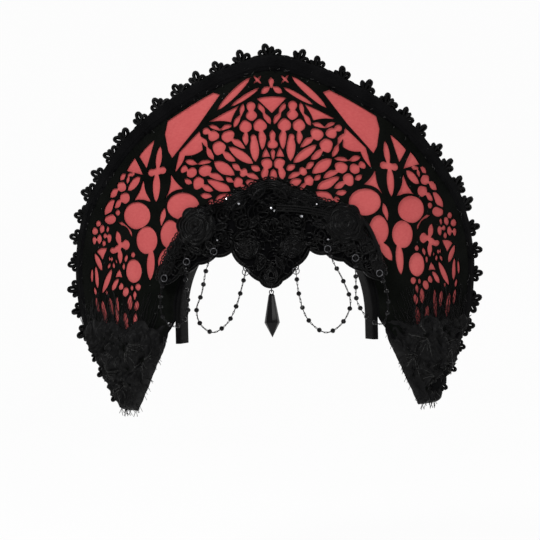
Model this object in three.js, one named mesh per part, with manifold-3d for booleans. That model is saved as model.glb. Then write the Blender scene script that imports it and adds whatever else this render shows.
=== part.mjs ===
// Halo crown: a crescent of red felt under black pierced tracery, standing up from a headband.
// Millimetres, +Z up. The front faces -Y, and the origin is the head seat under the middle of the headband.
// Sheet parts are drawn flat as [along, up] with a depth forward of the felt, then bent round the head in strips.
import * as THREE from "three";
import { mergeVertices } from "three/addons/utils/BufferGeometryUtils.js";
import Module from "manifold-3d";

const wasm = await Module();
wasm.setup();

// Halo
const haloHalfWidth = 208;
const haloRise = 165;
const centreDrop = 35;
const bendRadius = 200;
const stripWidth = 34;
const weld = 1e-3;
const outlineSteps = 30;

// Board, tracery and rim
const boardThickness = 3;
const traceryThickness = 1.2;
const rimWidth = 12.5;
const rimFold = 1.2;
const rimThickness = 1.5;
const borderWidth = 3.4;
const sheetGap = 0.3;

// Looped edging
const picotPitch = 23;
const picotReach = 7;
const picotLoop = 2.3;
const picotSpread = 1;
const picotFlare = 1.75;
const picotThickness = 1.6;
const picotStrip = 1.6;

// Headband
const seatHalfWidth = 82;
const seatRise = 85;
const legLength = 20;
const bandThickness = 5;
const bandDepth = 18;
const archFacets = 15;

// Lace over the forehead
const laceHalfWidth = 91;
const laceTop = 29;
const laceDrop = 60;
const laceShift = -3.5;
const laceThickness = 1.2;
const laceLean = 0.18;
const laceFold = 20;
const scallopRise = 1.6;
const roseHeight = 3.2;

// Gathered lace at the lower ends
const gatherThickness = 2;
const gatherFold = 3;
const gatherFolds = 3;

// Beads, rings and drop
const beadRadius = 1.9;
const beadFlat = 0.8;
const wireRadius = 0.4;
const wireSides = 5;
const ringRadius = 3.2;
const ringWire = 0.45;
const ringSides = 8;
const eyeletRadius = 1.35;
const stringDepth = 17.5;
const hookAngle = 0.6;
const firstBead = 9;
const beadsPerString = 12;
const dropLength = 35;
const dropRadius = 6.3;
const dropSides = 8;
const bailRadius = 1.7;
const bailWire = 0.4;

// Strips of the bend, an odd number that reaches past the edging
const stripCount = 2 * Math.ceil((haloHalfWidth + picotReach + picotLoop) / stripWidth - 0.5) + 1;

// Depths forward of the felt's face
const boardBack = -boardThickness;
const traceryBack = sheetGap;
const traceryFront = traceryBack + traceryThickness;
const rimFront = sheetGap + rimThickness;
const rimBack = boardBack - sheetGap - rimThickness;
const bandFront = rimFront;
const bandBack = bandFront - bandDepth;
const laceBack = rimFront + sheetGap;
const laceMiddle = laceBack + laceThickness / 2;
const laceFront = laceBack + laceThickness;

const material = (color, roughness, metalness = 0) =>
  new THREE.MeshStandardMaterial({ color, roughness, metalness });
const feltRed = material(0xc85050, 0.95);
const overlayBlack = material(0x0d0d0d, 0.85);
const ribbonBlack = material(0x111112, 0.9);
const laceBlack = material(0x161618, 0.8);
const beadBlack = material(0x0a0a0c, 0.15);
const wireBlack = material(0x26262a, 0.35, 0.9);

// Outer edge of the halo from the middle to one lower end, as shares of the half width and of the rise
const outerEdge = [
  { across: 0.0, up: 1.005 },
  { across: 0.196, up: 0.94 },
  { across: 0.396, up: 0.818 },
  { across: 0.588, up: 0.672 },
  { across: 0.76, up: 0.479 },
  { across: 0.916, up: 0.265 },
  { across: 0.998, up: 0.003 },
  { across: 0.972, up: -0.277 },
  { across: 0.878, up: -0.46 },
  { across: 0.79, up: -0.605 },
  { across: 0.7, up: -0.735 },
];

// Inner edge below the headband, from the lower end up to the band's leg
const innerEdge = [
  { across: 0.645, up: -0.755 },
  { across: 0.59, up: -0.64 },
  { across: 0.5, up: -0.44 },
];

const spot = (across, up) => [across * haloHalfWidth, up * haloRise - centreDrop];
const size = (share) => share * haloRise;
const mirrored = ([s, z]) => [-s, z];
const between = (a, b, t) => a + (b - a) * t;

// Bend: a point of the flat drawing goes to its strip, whose two edges lie on circles round the head
const stripAt = (s) => Math.floor(s / stripWidth + stripCount / 2);
const stripLeft = (strip) => (strip - stripCount / 2) * stripWidth;

function bent([s, z, d], strip = stripAt(s)) {
  const share = (s - stripLeft(strip)) / stripWidth;
  const radius = bendRadius + d;
  const a = stripLeft(strip) / bendRadius;
  const b = stripLeft(strip + 1) / bendRadius;
  return [
    radius * between(Math.sin(a), Math.sin(b), share),
    bendRadius - radius * between(Math.cos(a), Math.cos(b), share),
    z,
  ];
}

// Below the head seat the lace leans forward over the forehead
const lean = (z) => laceLean * Math.max(0, -z);

// A geometry's places and triangles alone
function bare(geometry) {
  const result = new THREE.BufferGeometry();
  result.setAttribute("position", geometry.getAttribute("position"));
  if (geometry.index) result.setIndex(geometry.index);
  return result;
}

// Closed solid from a three.js geometry
function solid(geometry) {
  const merged = mergeVertices(bare(geometry), 1e-4);
  const triVerts = Uint32Array.from(merged.index.array);
  const vertProperties = Float32Array.from(merged.getAttribute("position").array);
  return new wasm.Manifold(new wasm.Mesh({ numProp: 3, vertProperties, triVerts }));
}

const joined = (solids) => solids.reduce((whole, piece) => whole.add(piece));
const cutBy = (body, tools) => tools.reduce((rest, tool) => rest.subtract(tool), body);

// Sheet with the given flat outline, between two depths
function sheet(outline, back, front) {
  const shape = new THREE.Shape(outline.map(([s, z]) => new THREE.Vector2(s, z)));
  const geometry = new THREE.ExtrudeGeometry(shape, { depth: front - back, bevelEnabled: false });
  geometry.translate(0, 0, back);
  return solid(geometry);
}

function meshOf(body) {
  const { vertProperties, triVerts, numProp } = body.getMesh();
  const points = [];
  for (let i = 0; i < vertProperties.length; i += numProp) points.push([...vertProperties.slice(i, i + 3)]);
  const triangles = [];
  for (let i = 0; i < triVerts.length; i += 3) triangles.push([...triVerts.slice(i, i + 3)]);
  return { points, triangles };
}

function geometryOf({ points, triangles }) {
  const geometry = new THREE.BufferGeometry();
  geometry.setAttribute("position", new THREE.Float32BufferAttribute(points.flat(), 3));
  geometry.setIndex(triangles.flat());
  geometry.computeVertexNormals();
  return geometry;
}

// Flat solid bent round the head: cut into strips, each turned to its place, and closed again at the folds.
// Leaning parts are also folded forward in bands below the seat.
function bentGeometry(body, leaning = false) {
  const { min, max } = body.boundingBox();
  const top = max[1] + 1;
  const bottom = min[1] - 1;
  const levels = [top];
  if (leaning) for (let z = 0; z > bottom; z -= laceFold) levels.push(z);
  levels.push(bottom);
  const points = [];
  const triangles = [];
  for (let strip = 0; strip < stripCount; strip++) {
    const left = stripLeft(strip);
    const right = stripLeft(strip + 1);
    levels.slice(1).forEach((low, i) => {
      const high = levels[i];
      const block = new THREE.BoxGeometry(stripWidth, high - low, 4 * stripWidth);
      block.translate((left + right) / 2, (high + low) / 2, 0);
      const piece = body.intersect(solid(block));
      if (piece.isEmpty()) return;
      const mesh = meshOf(piece);
      const start = points.length;
      const walls = [[0, left], [0, right], [1, high], [1, low]];
      const onWall = (corners) => walls.some(([axis, at]) => corners.every((p) => Math.abs(p[axis] - at) < 1e-4));
      for (const triangle of mesh.triangles) {
        if (!onWall(triangle.map((n) => mesh.points[n]))) triangles.push(triangle.map((n) => n + start));
      }
      const folded = leaning ? mesh.points.map(([s, z, d]) => [s, z, d + lean(z)]) : mesh.points;
      points.push(...folded.map((p) => bent(p, strip)));
    });
  }
  return closedAtFolds(mergeVertices(bare(geometryOf({ points, triangles })), weld));
}

// Where one side of a fold has corners that the other side's long edge passes over, that edge is split at them
function closedAtFolds(geometry) {
  const place = geometry.getAttribute("position");
  const at = (i) => new THREE.Vector3().fromBufferAttribute(place, i);
  const index = geometry.index.array;
  let triangles = [];
  for (let i = 0; i < index.length; i += 3) {
    const [a, b, c] = index.slice(i, i + 3);
    if (a !== b && b !== c && c !== a) triangles.push([a, b, c]);
  }
  for (let changed = true; changed; ) {
    changed = false;
    const paired = new Set(triangles.flatMap(([a, b, c]) => [`${a} ${b}`, `${b} ${c}`, `${c} ${a}`]));
    const open = (a, b) => !paired.has(`${b} ${a}`);
    const loose = new Set(triangles.flatMap(([a, b, c]) => [[a, b], [b, c], [c, a]]).filter((e) => open(...e)).flat());
    triangles = triangles.flatMap((triangle) => {
      for (let turn = 0; turn < 3; turn++) {
        const [a, b, c] = [0, 1, 2].map((i) => triangle[(turn + i) % 3]);
        if (!open(a, b)) continue;
        const edge = new THREE.Line3(at(a), at(b));
        const passed = [...loose]
          .filter((i) => i !== a && i !== b && i !== c)
          .map((i) => ({ i, t: edge.closestPointToPointParameter(at(i), false) }))
          .filter(({ i, t }) => t > 0 && t < 1 && edge.at(t, new THREE.Vector3()).distanceTo(at(i)) < weld)
          .sort((p, q) => p.t - q.t);
        if (!passed.length) continue;
        changed = true;
        const chain = [a, ...passed.map(({ i }) => i), b];
        return chain.slice(1).map((next, n) => [chain[n], next, c]);
      }
      return [triangle];
    });
  }
  geometry.setIndex(triangles.flat());
  geometry.computeVertexNormals();
  return geometry;
}

// Outlines
function halfEdge(table) {
  return table.map(({ across, up }) => spot(across, up));
}

// Outer edge of the halo, from the left end over the top to the right end
const haloCurve = (() => {
  const half = halfEdge(outerEdge);
  const all = [...half.slice(1).reverse().map(mirrored), ...half];
  return new THREE.CatmullRomCurve3(all.map(([s, z]) => new THREE.Vector3(s, z, 0)), false, "centripetal");
})();

// Place and inward direction on that edge, at a share of its length and moved in by an inset
function edgePlace(share, inset) {
  const p = haloCurve.getPointAt(share);
  const t = haloCurve.getTangentAt(share);
  return { place: [p.x + t.y * inset, p.y - t.x * inset], inward: [t.y, -t.x] };
}

const haloEdge = (inset) =>
  Array.from({ length: outlineSteps + 1 }, (_, i) => edgePlace(i / outlineSteps, inset).place);

// Arch of the headband, raised by an offset, from the right leg over the top to the left leg
function archEdge(offset) {
  const centre = -seatRise;
  const facetRise = Math.cos(Math.PI / 2 / archFacets);
  const edge = [[seatHalfWidth + offset, centre - legLength]];
  for (let i = 0; i <= archFacets; i++) {
    const angle = (Math.PI * i) / archFacets;
    const up = ((seatRise + offset) * Math.sin(angle)) / facetRise;
    edge.push([(seatHalfWidth + offset) * Math.cos(angle), centre + up]);
  }
  edge.push([-seatHalfWidth - offset, centre - legLength]);
  return edge;
}

// Crescent between the outer edge and the head, with its lower ends closed
function crescent(inset, bandClearance) {
  const arch = archEdge(bandThickness + bandClearance).slice(1, -1);
  const right = halfEdge(innerEdge);
  return [...haloEdge(inset), ...right, ...arch, ...right.map(mirrored).reverse()];
}

function edgeRing(insetOut, insetIn) {
  return [...haloEdge(insetOut), ...haloEdge(insetIn).reverse()];
}

// Cells of the tracery: each function returns a flat outline in millimetres
function disc([s, z], across, up = across, sides = 10) {
  return Array.from({ length: sides }, (_, i) => {
    const angle = (2 * Math.PI * (i + 0.5)) / sides;
    return [s + across * Math.cos(angle), z + up * Math.sin(angle)];
  });
}

// Points of an arc from a to b that bulges to the right of its way by a share of its length
function arc([as, az], [bs, bz], bulge, steps = 3) {
  const points = [];
  for (let i = 0; i < steps; i++) {
    const t = i / steps;
    const out = 4 * bulge * t * (1 - t);
    points.push([between(as, bs, t) + (bz - az) * out, between(az, bz, t) - (bs - as) * out]);
  }
  return points;
}

// Leaf wider than this share of the rise has three steps to a side
const wideLeaf = 0.037;

function leaf(from, to, width) {
  const length = Math.hypot(to[0] - from[0], to[1] - from[1]);
  const bulge = width / 2 / length;
  const steps = width > size(wideLeaf) ? 3 : 2;
  return [...arc(from, to, bulge, steps), ...arc(to, from, bulge, steps)];
}

// Round head with a pointed tail
function tadpole([s, z], radius, [ts, tz]) {
  const way = Math.atan2(tz - z, ts - s);
  const shoulder = 0.9;
  const sides = 5;
  const points = [[ts, tz]];
  for (let i = 0; i <= sides; i++) {
    const angle = way + between(shoulder, 2 * Math.PI - shoulder, i / sides);
    points.push([s + radius * Math.cos(angle), z + radius * Math.sin(angle)]);
  }
  return points;
}

// Pane with corners [across, up, bulge of the edge that follows]
function pane(corners) {
  return corners.flatMap(([across, up, bulge = 0], i) => {
    const [nextAcross, nextUp] = corners[(i + 1) % corners.length];
    return arc(spot(across, up), spot(nextAcross, nextUp), bulge, bulge ? 3 : 1);
  });
}

// Large panes of the left half, corners counter-clockwise
const panes = [
  [[-0.21, 0.828, 0.1], [-0.438, 0.666, 0.12], [-0.424, 0.504, 0.03]],
  [[-0.565, 0.54], [-0.534, 0.47], [-0.494, 0.608]],
  [[-0.593, 0.51], [-0.632, 0.456, -0.08], [-0.558, 0.44]],
  [[-0.3, 0.642, 0.02], [-0.402, 0.468, -0.1], [-0.253, 0.518, -0.1]],
  [[-0.423, 0.43, -0.06], [-0.457, 0.3, -0.16], [-0.369, 0.354]],
  [[-0.446, 0.188, 0.04], [-0.466, 0.072], [-0.434, 0.056, 0.03], [-0.381, 0.196]],
  [[-0.551, 0.398, -0.06], [-0.606, 0.297, -0.12], [-0.526, 0.296]],
  [[-0.128, 0.766], [-0.25, 0.684, -0.08], [-0.16, 0.678]],
  [[-0.833, 0.046], [-0.796, 0.006], [-0.773, 0.058]],
];

// Pointed leaves of the left half: where each starts and ends, and its width as a share of the rise
const leaves = [
  { from: [-0.468, 0.58], to: [-0.49, 0.438], width: 0.034 },
  { from: [-0.533, 0.436], to: [-0.432, 0.46], width: 0.04 },
  { from: [-0.489, 0.46], to: [-0.494, 0.304], width: 0.036 },
  { from: [-0.441, 0.08], to: [-0.483, -0.02], width: 0.036 },
  { from: [-0.533, 0.09], to: [-0.532, -0.094], width: 0.05 },
  { from: [-0.703, 0.142], to: [-0.688, -0.018], width: 0.044 },
  { from: [-0.754, 0.034], to: [-0.632, 0.09], width: 0.052 },
  { from: [-0.682, 0.4], to: [-0.594, 0.44], width: 0.026 },
  { from: [-0.634, 0.354], to: [-0.572, 0.42], width: 0.042 },
  { from: [-0.712, 0.314], to: [-0.776, 0.24], width: 0.036 },
  { from: [-0.784, 0.218], to: [-0.7, 0.212], width: 0.042 },
  { from: [-0.852, 0.03], to: [-0.8, -0.052], width: 0.034 },
  { from: [-0.851, -0.038], to: [-0.837, -0.152], width: 0.03 },
  { from: [-0.736, -0.042], to: [-0.796, -0.152], width: 0.044 },
  { from: [-0.695, -0.12], to: [-0.655, -0.192], width: 0.032 },
  { from: [-0.225, 0.743], to: [-0.085, 0.892], width: 0.04 },
  { from: [-0.192, 0.762], to: [-0.047, 0.85], width: 0.03 },
  { from: [-0.076, 0.868], to: [-0.044, 0.904], width: 0.018 },
  { from: [-0.044, 0.868], to: [-0.076, 0.904], width: 0.018 },
  { from: [-0.228, 0.476], to: [-0.142, 0.412], width: 0.05 },
  { from: [-0.11, 0.388], to: [-0.062, 0.36], width: 0.04 },
  { from: [-0.252, 0.294], to: [-0.172, 0.319], width: 0.042 },
  { from: [0.002, 0.851], to: [-0.04, 0.818], width: 0.026 },
];

// Round cells of the left half, with radii as shares of the rise
const rounds = [
  { at: [-0.376, 0.267], across: 0.084, up: 0.07, sides: 10 },
  { at: [-0.591, 0.224], across: 0.077, up: 0.066, sides: 10 },
  { at: [-0.549, 0.101], across: 0.062, up: 0.07, sides: 10 },
  { at: [-0.612, -0.055], across: 0.049, up: 0.058, sides: 8 },
  { at: [-0.802, 0.172], across: 0.02, up: 0.026, sides: 6 },
  { at: [-0.846, 0.147], across: 0.017, up: 0.017, sides: 6 },
  { at: [-0.817, 0.108], across: 0.019, up: 0.023, sides: 6 },
  { at: [-0.768, 0.124], across: 0.016, up: 0.018, sides: 6 },
  { at: [-0.596, -0.138], across: 0.018, up: 0.018, sides: 6 },
];

// Tadpoles of the left half: head, its radius as a share of the rise, and the tip of the tail
const tadpoles = [
  { head: [-0.667, 0.374], radius: 0.025, tail: [-0.732, 0.322] },
  { head: [-0.653, 0.322], radius: 0.025, tail: [-0.716, 0.266] },
  { head: [-0.027, 0.463], radius: 0.025, tail: [-0.04, 0.398] },
  { head: [-0.117, 0.424], radius: 0.021, tail: [-0.062, 0.397] },
  { head: [-0.143, 0.377], radius: 0.021, tail: [-0.11, 0.346] },
];

// Cells on the middle line
const middleLeaves = [
  { from: [0, 0.845], to: [0, 0.9], width: 0.024 },
  { from: [0, 0.538], to: [0, 0.492], width: 0.02 },
  { from: [0, 0.445], to: [0, 0.38], width: 0.038 },
];
const middlePane = [[-0.063, 0.792, -0.1], [0, 0.72, -0.1], [0.063, 0.792, 0.03]];
const spade = { head: [0, 0.557], radius: 0.025, tail: [0, 0.634] };

// Petals of the rose: where each stands, its length as a share of the rise, and its turn from upright
const petals = [
  { foot: [-0.07, 0.466], length: 0.325, turn: -3 },
  { foot: [-0.103, 0.462], length: 0.3, turn: -50 },
  { foot: [-0.168, 0.362], length: 0.285, turn: -73 },
];

// Cells of one petal as [side, along], all shares of its length
const petalTop = [{ at: [0, 0.9], radius: 0.052 }, { at: [0, 0.8], radius: 0.066 }];
const petalSide = [[0.095, 0.93], [0.235, 0.62], [0.105, 0.735]];
const petalRoundel = { head: [0.118, 0.595], radius: 0.087, tail: [0.1, 0.36] };
const petalLens = { from: [0, 0.42], to: [0, 0.02], width: 0.15 };

function petalCells({ foot, length, turn }) {
  const [s, z] = spot(...foot);
  const reach = size(length);
  const angle = THREE.MathUtils.degToRad(turn);
  const place = ([side, along]) => [
    s + reach * (side * Math.cos(angle) + along * Math.sin(angle)),
    z + reach * (along * Math.cos(angle) - side * Math.sin(angle)),
  ];
  const cells = petalTop.map(({ at, radius }) => disc(place(at), reach * radius, reach * radius, 6));
  cells.push(leaf(place(petalLens.from), place(petalLens.to), reach * petalLens.width));
  for (const side of [-1, 1]) {
    const turned = ([x, y]) => place([side * x, y]);
    const { head, radius, tail } = petalRoundel;
    cells.push(tadpole(turned(head), reach * radius, turned(tail)));
    cells.push(petalSide.map(turned));
  }
  return cells;
}

function leftCells() {
  return [
    ...panes.map(pane),
    ...leaves.map(({ from, to, width }) => leaf(spot(...from), spot(...to), size(width))),
    ...rounds.map(({ at, across, up, sides }) => disc(spot(...at), size(across), size(up), sides)),
    ...tadpoles.map(({ head, radius, tail }) => tadpole(spot(...head), size(radius), spot(...tail))),
    ...petals.flatMap(petalCells),
  ];
}

function middleCells() {
  const { head, radius, tail } = spade;
  return [
    ...middleLeaves.map(({ from, to, width }) => leaf(spot(...from), spot(...to), size(width))),
    pane(middlePane),
    tadpole(spot(...head), size(radius), spot(...tail)),
  ];
}

// Board under felt, both faces red
const makePanel = () => bentGeometry(sheet(crescent(rimFold + sheetGap, sheetGap), boardBack, 0));

// Pierced overlay: the field less its cells, inside an unbroken border
function makeTracery() {
  const inset = rimWidth + sheetGap;
  const left = leftCells();
  const outlines = [...left, ...left.map((cell) => cell.map(mirrored)), ...middleCells()];
  const cutters = outlines.map((outline) => sheet(outline, traceryBack - 1, traceryFront + 1));
  const field = sheet(crescent(inset, sheetGap), traceryBack, traceryFront);
  const border = sheet(edgeRing(inset, inset + borderWidth), traceryBack, traceryFront);
  return bentGeometry(cutBy(field, cutters).add(border));
}

// Ribbon folded over the edge of board and tracery
function makeRim() {
  const whole = sheet(edgeRing(0, rimWidth), rimBack, rimFront);
  const slot = sheet(edgeRing(rimFold, rimWidth + rimFold * 3), boardBack - sheetGap, sheetGap);
  return bentGeometry(whole.subtract(slot));
}

// Fan of three loops that stands out from the edge at a share of its length
function fan(share, inset) {
  const { place, inward } = edgePlace(share, inset);
  const out = Math.atan2(-inward[1], -inward[0]);
  const reach = picotReach - picotLoop;
  return [picotSpread, 0, -picotSpread].flatMap((spread) => {
    const centre = place.map((value, k) => value + reach * (k ? Math.sin(out + spread) : Math.cos(out + spread)));
    return [picotFlare, 0, -picotFlare].map((turn) => {
      const angle = out + spread + turn;
      return [centre[0] + picotLoop * Math.cos(angle), centre[1] + picotLoop * Math.sin(angle)];
    });
  });
}

// Edging: a narrow strip along the rim that carries the fans
function makePicots() {
  const back = (rimFront + rimBack - picotThickness) / 2;
  const outer = -sheetGap - picotStrip;
  const count = Math.round(haloCurve.getLength() / picotPitch);
  const outline = [];
  for (let i = 0; i < count; i++) outline.push(edgePlace(i / count, outer).place, ...fan((i + 0.5) / count, outer));
  outline.push(edgePlace(1, outer).place, ...haloEdge(-sheetGap).reverse());
  return bentGeometry(sheet(outline, back, back + picotThickness));
}

// Padded arch that sits on the head
function makeHeadband() {
  const outline = [...archEdge(bandThickness), ...archEdge(0).reverse()];
  return bentGeometry(sheet(outline, bandBack, bandFront));
}

// Lace band: upper and lower edge from its left end to the middle, as shares of its half width, top and drop
const laceUpper = [
  { across: -1.0, up: -0.86 },
  { across: -0.975, up: -0.66 },
  { across: -0.9, up: -0.42 },
  { across: -0.75, up: -0.1 },
  { across: -0.6, up: 0.2 },
  { across: -0.43, up: 0.38 },
  { across: -0.22, up: 0.72 },
  { across: 0.0, up: 1.0 },
];
const laceLower = [
  { across: -0.0, up: -0.995 },
  { across: -0.1, up: -0.9 },
  { across: -0.22, up: -0.71 },
  { across: -0.34, up: -0.5 },
  { across: -0.48, up: -0.56 },
  { across: -0.63, up: -0.66 },
  { across: -0.8, up: -0.8 },
  { across: -0.94, up: -0.93 },
];

const laceSpot = ({ across, up }) => [across * laceHalfWidth, up * (up > 0 ? laceTop : laceDrop)];
const shifted = ([s, z]) => [s + laceShift, z];

// Eyelets that the strings' rings hang in: [across, up] of each ring's middle
const eyelets = [
  { across: -0.935, up: -0.77 },
  { across: -0.735, up: -0.55 },
  { across: -0.485, up: -0.42 },
  { across: -0.208, up: -0.703 },
];
const dropEyelet = { across: 0, up: -0.992 };

function scalloped(points) {
  return points.slice(0, -1).flatMap((p, i) => {
    const q = points[i + 1];
    return arc(p, q, -scallopRise / Math.hypot(q[0] - p[0], q[1] - p[1]), 3);
  });
}

function laceOutline() {
  const upper = laceUpper.map(laceSpot);
  const lower = laceLower.map(laceSpot);
  const round = [
    ...upper,
    ...upper.slice(0, -1).reverse().map(mirrored),
    ...lower.slice(1).reverse().map(mirrored),
    ...lower,
    upper[0],
  ];
  return scalloped(round).map(shifted);
}

const ringCentres = [...eyelets.map(laceSpot), ...eyelets.map(laceSpot).map(mirrored)].map(shifted);
const dropCentre = shifted(laceSpot(dropEyelet));

function makeLace() {
  const body = sheet(laceOutline(), laceBack, laceFront);
  const holes = [...ringCentres, dropCentre].flatMap(([s, z]) =>
    [-1, 1].map((side) => sheet(disc([s, z + side * ringRadius], eyeletRadius, eyeletRadius, 6), 0, laceFront + 1)),
  );
  return bentGeometry(cutBy(body, holes), true);
}

// Raised roses of the lace: place as shares of the lace's half width and drop, radius as a share of the half width
const roses = [
  { across: -0.665, up: -0.13, radius: 0.187 },
  { across: -0.188, up: -0.437, radius: 0.104 },
  { across: 0.188, up: -0.437, radius: 0.104 },
  { across: 0.665, up: -0.13, radius: 0.187 },
];

// Rings of a rose's dome, from its edge inwards: reach as a share of its radius, rise as a share of its height
const roseRings = [
  { reach: 1, rise: 0 },
  { reach: 0.96, rise: 0.35 },
  { reach: 0.6, rise: 0.85 },
];
const rosePetals = 6;
const petalDip = 0.88;

// Low dome with petals round its edge
function makeRose({ across, up, radius }) {
  const [s, z] = shifted([across * laceHalfWidth, up * laceDrop]);
  const sides = 2 * rosePetals;
  const back = laceFront + sheetGap;
  const points = [];
  for (const { reach, rise } of roseRings) {
    for (let i = 0; i < sides; i++) {
      const angle = (2 * Math.PI * i) / sides;
      const r = radius * laceHalfWidth * reach * (i % 2 ? petalDip : 1);
      points.push([s + r * Math.cos(angle), z + r * Math.sin(angle), back + rise * roseHeight]);
    }
  }
  const triangles = [];
  for (let ring = 0; ring + 1 < roseRings.length; ring++) {
    for (let i = 0; i < sides; i++) {
      const a = ring * sides + i;
      const b = ring * sides + ((i + 1) % sides);
      triangles.push([a, b, b + sides], [a, b + sides, a + sides]);
    }
  }
  const bottom = points.push([s, z, back]) - 1;
  const top = points.push([s, z, back + roseHeight]) - 1;
  for (let i = 0; i < sides; i++) {
    const next = (i + 1) % sides;
    const last = (roseRings.length - 1) * sides;
    triangles.push([bottom, next, i], [last + i, last + next, top]);
  }
  return bentGeometry(solid(geometryOf({ points, triangles })), true);
}

// Gathered lace over a lower end: rows from its top down to the tip, inner and outer end of each
const gatherRows = [
  { inner: [0.555, -0.3], outer: [0.94, -0.33] },
  { inner: [0.54, -0.42], outer: [0.895, -0.42] },
  { inner: [0.56, -0.52], outer: [0.838, -0.52] },
  { inner: [0.59, -0.61], outer: [0.78, -0.612] },
  { inner: [0.63, -0.7], outer: [0.712, -0.715] },
];

function makeGather(side) {
  const columns = gatherFolds * 2;
  const rows = gatherRows.length;
  const back = laceBack;
  const grid = [];
  gatherRows.forEach(({ inner, outer }, row) => {
    for (let column = 0; column <= columns; column++) {
      const t = column / columns;
      const [s, z] = spot(between(inner[0], outer[0], t), between(inner[1], outer[1], t));
      const crest = (column + row) % 2 ? gatherFold : 0;
      grid.push([side * s, z, back + gatherThickness + crest]);
    }
  });
  const count = grid.length;
  const points = [...grid, ...grid.map(([s, z]) => [s, z, back])];
  const triangles = [];
  const quad = (a, b, c, d) => triangles.push([a, b, c], [a, c, d]);
  const width = columns + 1;
  for (let row = 0; row + 1 < rows; row++) {
    for (let column = 0; column < columns; column++) {
      const a = row * width + column;
      quad(a, a + width, a + width + 1, a + 1);
      quad(a + count, a + count + 1, a + count + width + 1, a + count + width);
    }
  }
  const rim = [
    ...Array.from({ length: columns }, (_, i) => i),
    ...Array.from({ length: rows - 1 }, (_, i) => i * width + columns),
    ...Array.from({ length: columns }, (_, i) => (rows - 1) * width + columns - i),
    ...Array.from({ length: rows - 1 }, (_, i) => (rows - 1 - i) * width),
  ];
  rim.forEach((a, i) => {
    const b = rim[(i + 1) % rim.length];
    quad(a, b, b + count, a + count);
  });
  const turned = side > 0 ? triangles : triangles.map(([a, b, c]) => [a, c, b]);
  return bentGeometry(solid(geometryOf({ points, triangles: turned })));
}

// Bead strings: chosen points [along, up] of each string's hang, between the eyelets named by number
const strings = [
  { hooks: [0, 1], route: [[-90.5, -65.6], [-88.9, -82], [-79, -89.5], [-69.5, -81.9], [-67.5, -72], [-69.5, -54]] },
  {
    hooks: [2, 3],
    route: [[-52.5, -43], [-56.5, -62.2], [-61, -76], [-57.8, -88.3], [-48.4, -94.5], [-38.2, -88.2], [-30.5, -74.3]],
  },
  {
    hooks: [7, 6],
    route: [[17.5, -67], [23.6, -85.7], [36.7, -96.5], [48.4, -90.7], [56.5, -74], [50.8, -54], [44.5, -41]],
  },
  { hooks: [5, 4], route: [[61.2, -55.6], [61.8, -72], [71.8, -87.5], [82.8, -91], [87.5, -74.6], [85, -60]] },
];

// Ring upright and square to the lace, at a flat place
function uprightRing([s, z]) {
  const geometry = new THREE.TorusGeometry(ringRadius, ringWire, wireSides, ringSides);
  geometry.rotateY(Math.PI / 2);
  geometry.rotateZ(s / bendRadius);
  const [x, y, up] = bent([s, z, laceMiddle + lean(z)]);
  geometry.translate(x, y, up);
  return solid(geometry);
}

// Low front of a ring, where a string or link starts
function ringFront([s, z]) {
  const depth = laceMiddle + lean(z) + ringRadius * Math.cos(hookAngle);
  return bent([s, z - ringRadius * Math.sin(hookAngle), depth]);
}

// Closed tube of rings along a curve; a ring has a share of the curve, a radius and a number of sides,
// and the sides of neighbouring rings are equal, or one has twice as many
function sweptRings(curve, rings) {
  const points = [];
  const firsts = [];
  const up = new THREE.Vector3(0, 1, 0);
  for (const { share, radius, sides } of rings) {
    const centre = curve.getPointAt(share);
    const way = curve.getTangentAt(share);
    const across = new THREE.Vector3().crossVectors(up, way).normalize();
    const upright = new THREE.Vector3().crossVectors(way, across);
    firsts.push(points.length);
    for (let i = 0; i < sides; i++) {
      const angle = (2 * Math.PI * i) / sides;
      const arm = across.clone().multiplyScalar(Math.cos(angle)).addScaledVector(upright, Math.sin(angle));
      points.push(centre.clone().addScaledVector(arm, radius).toArray());
    }
  }
  const triangles = [];
  rings.slice(1).forEach((far, n) => {
    const near = rings[n];
    const steps = Math.max(near.sides, far.sides);
    const at = (ring, sides, i) => firsts[ring] + (Math.floor((i * sides) / steps + 0.25) % sides);
    for (let i = 0; i < steps; i++) {
      const [a, b] = [at(n, near.sides, i), at(n, near.sides, i + 1)];
      const [c, d] = [at(n + 1, far.sides, i), at(n + 1, far.sides, i + 1)];
      if (a !== b) triangles.push([a, b, c]);
      if (c !== d) triangles.push([b, d, c]);
    }
  });
  for (const end of [0, rings.length - 1]) {
    for (let i = 1; i + 1 < rings[end].sides; i++) {
      const [a, b, c] = [0, i, i + 1].map((k) => firsts[end] + k);
      triangles.push(end ? [a, b, c] : [a, c, b]);
    }
  }
  return solid(geometryOf({ points, triangles }));
}

function makeString({ hooks, route }) {
  const [first, last] = hooks.map((i) => ringCentres[i]);
  const places = [ringFront(first), ...route.map(([s, z]) => bent([s, z, stringDepth])), ringFront(last)];
  const curve = new THREE.CatmullRomCurve3(places.map((p) => new THREE.Vector3(...p)), false, "centripetal");
  const length = curve.getLength();
  const pitch = (length - 2 * firstBead) / (beadsPerString - 1);
  const wire = (at) => ({ share: at / length, radius: wireRadius, sides: wireSides });
  const rings = [wire(0)];
  for (let i = 0; i < beadsPerString; i++) {
    const middle = firstBead + i * pitch;
    rings.push(wire(middle - beadRadius));
    for (const side of [-1, 1]) {
      rings.push({ share: (middle + side * beadFlat) / length, radius: beadRadius, sides: 2 * wireSides });
    }
    rings.push(wire(middle + beadRadius));
  }
  rings.push(wire(length));
  return geometryOf(meshOf(joined([sweptRings(curve, rings), uprightRing(first), uprightRing(last)])));
}

// Pointed faceted drop with its bail round the lowest wire of its ring
const dropProfile = [
  { down: 0, radius: 0.16 },
  { down: 0.03, radius: 0.4 },
  { down: 0.66, radius: 1 },
  { down: 1, radius: 0.03 },
];

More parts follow.
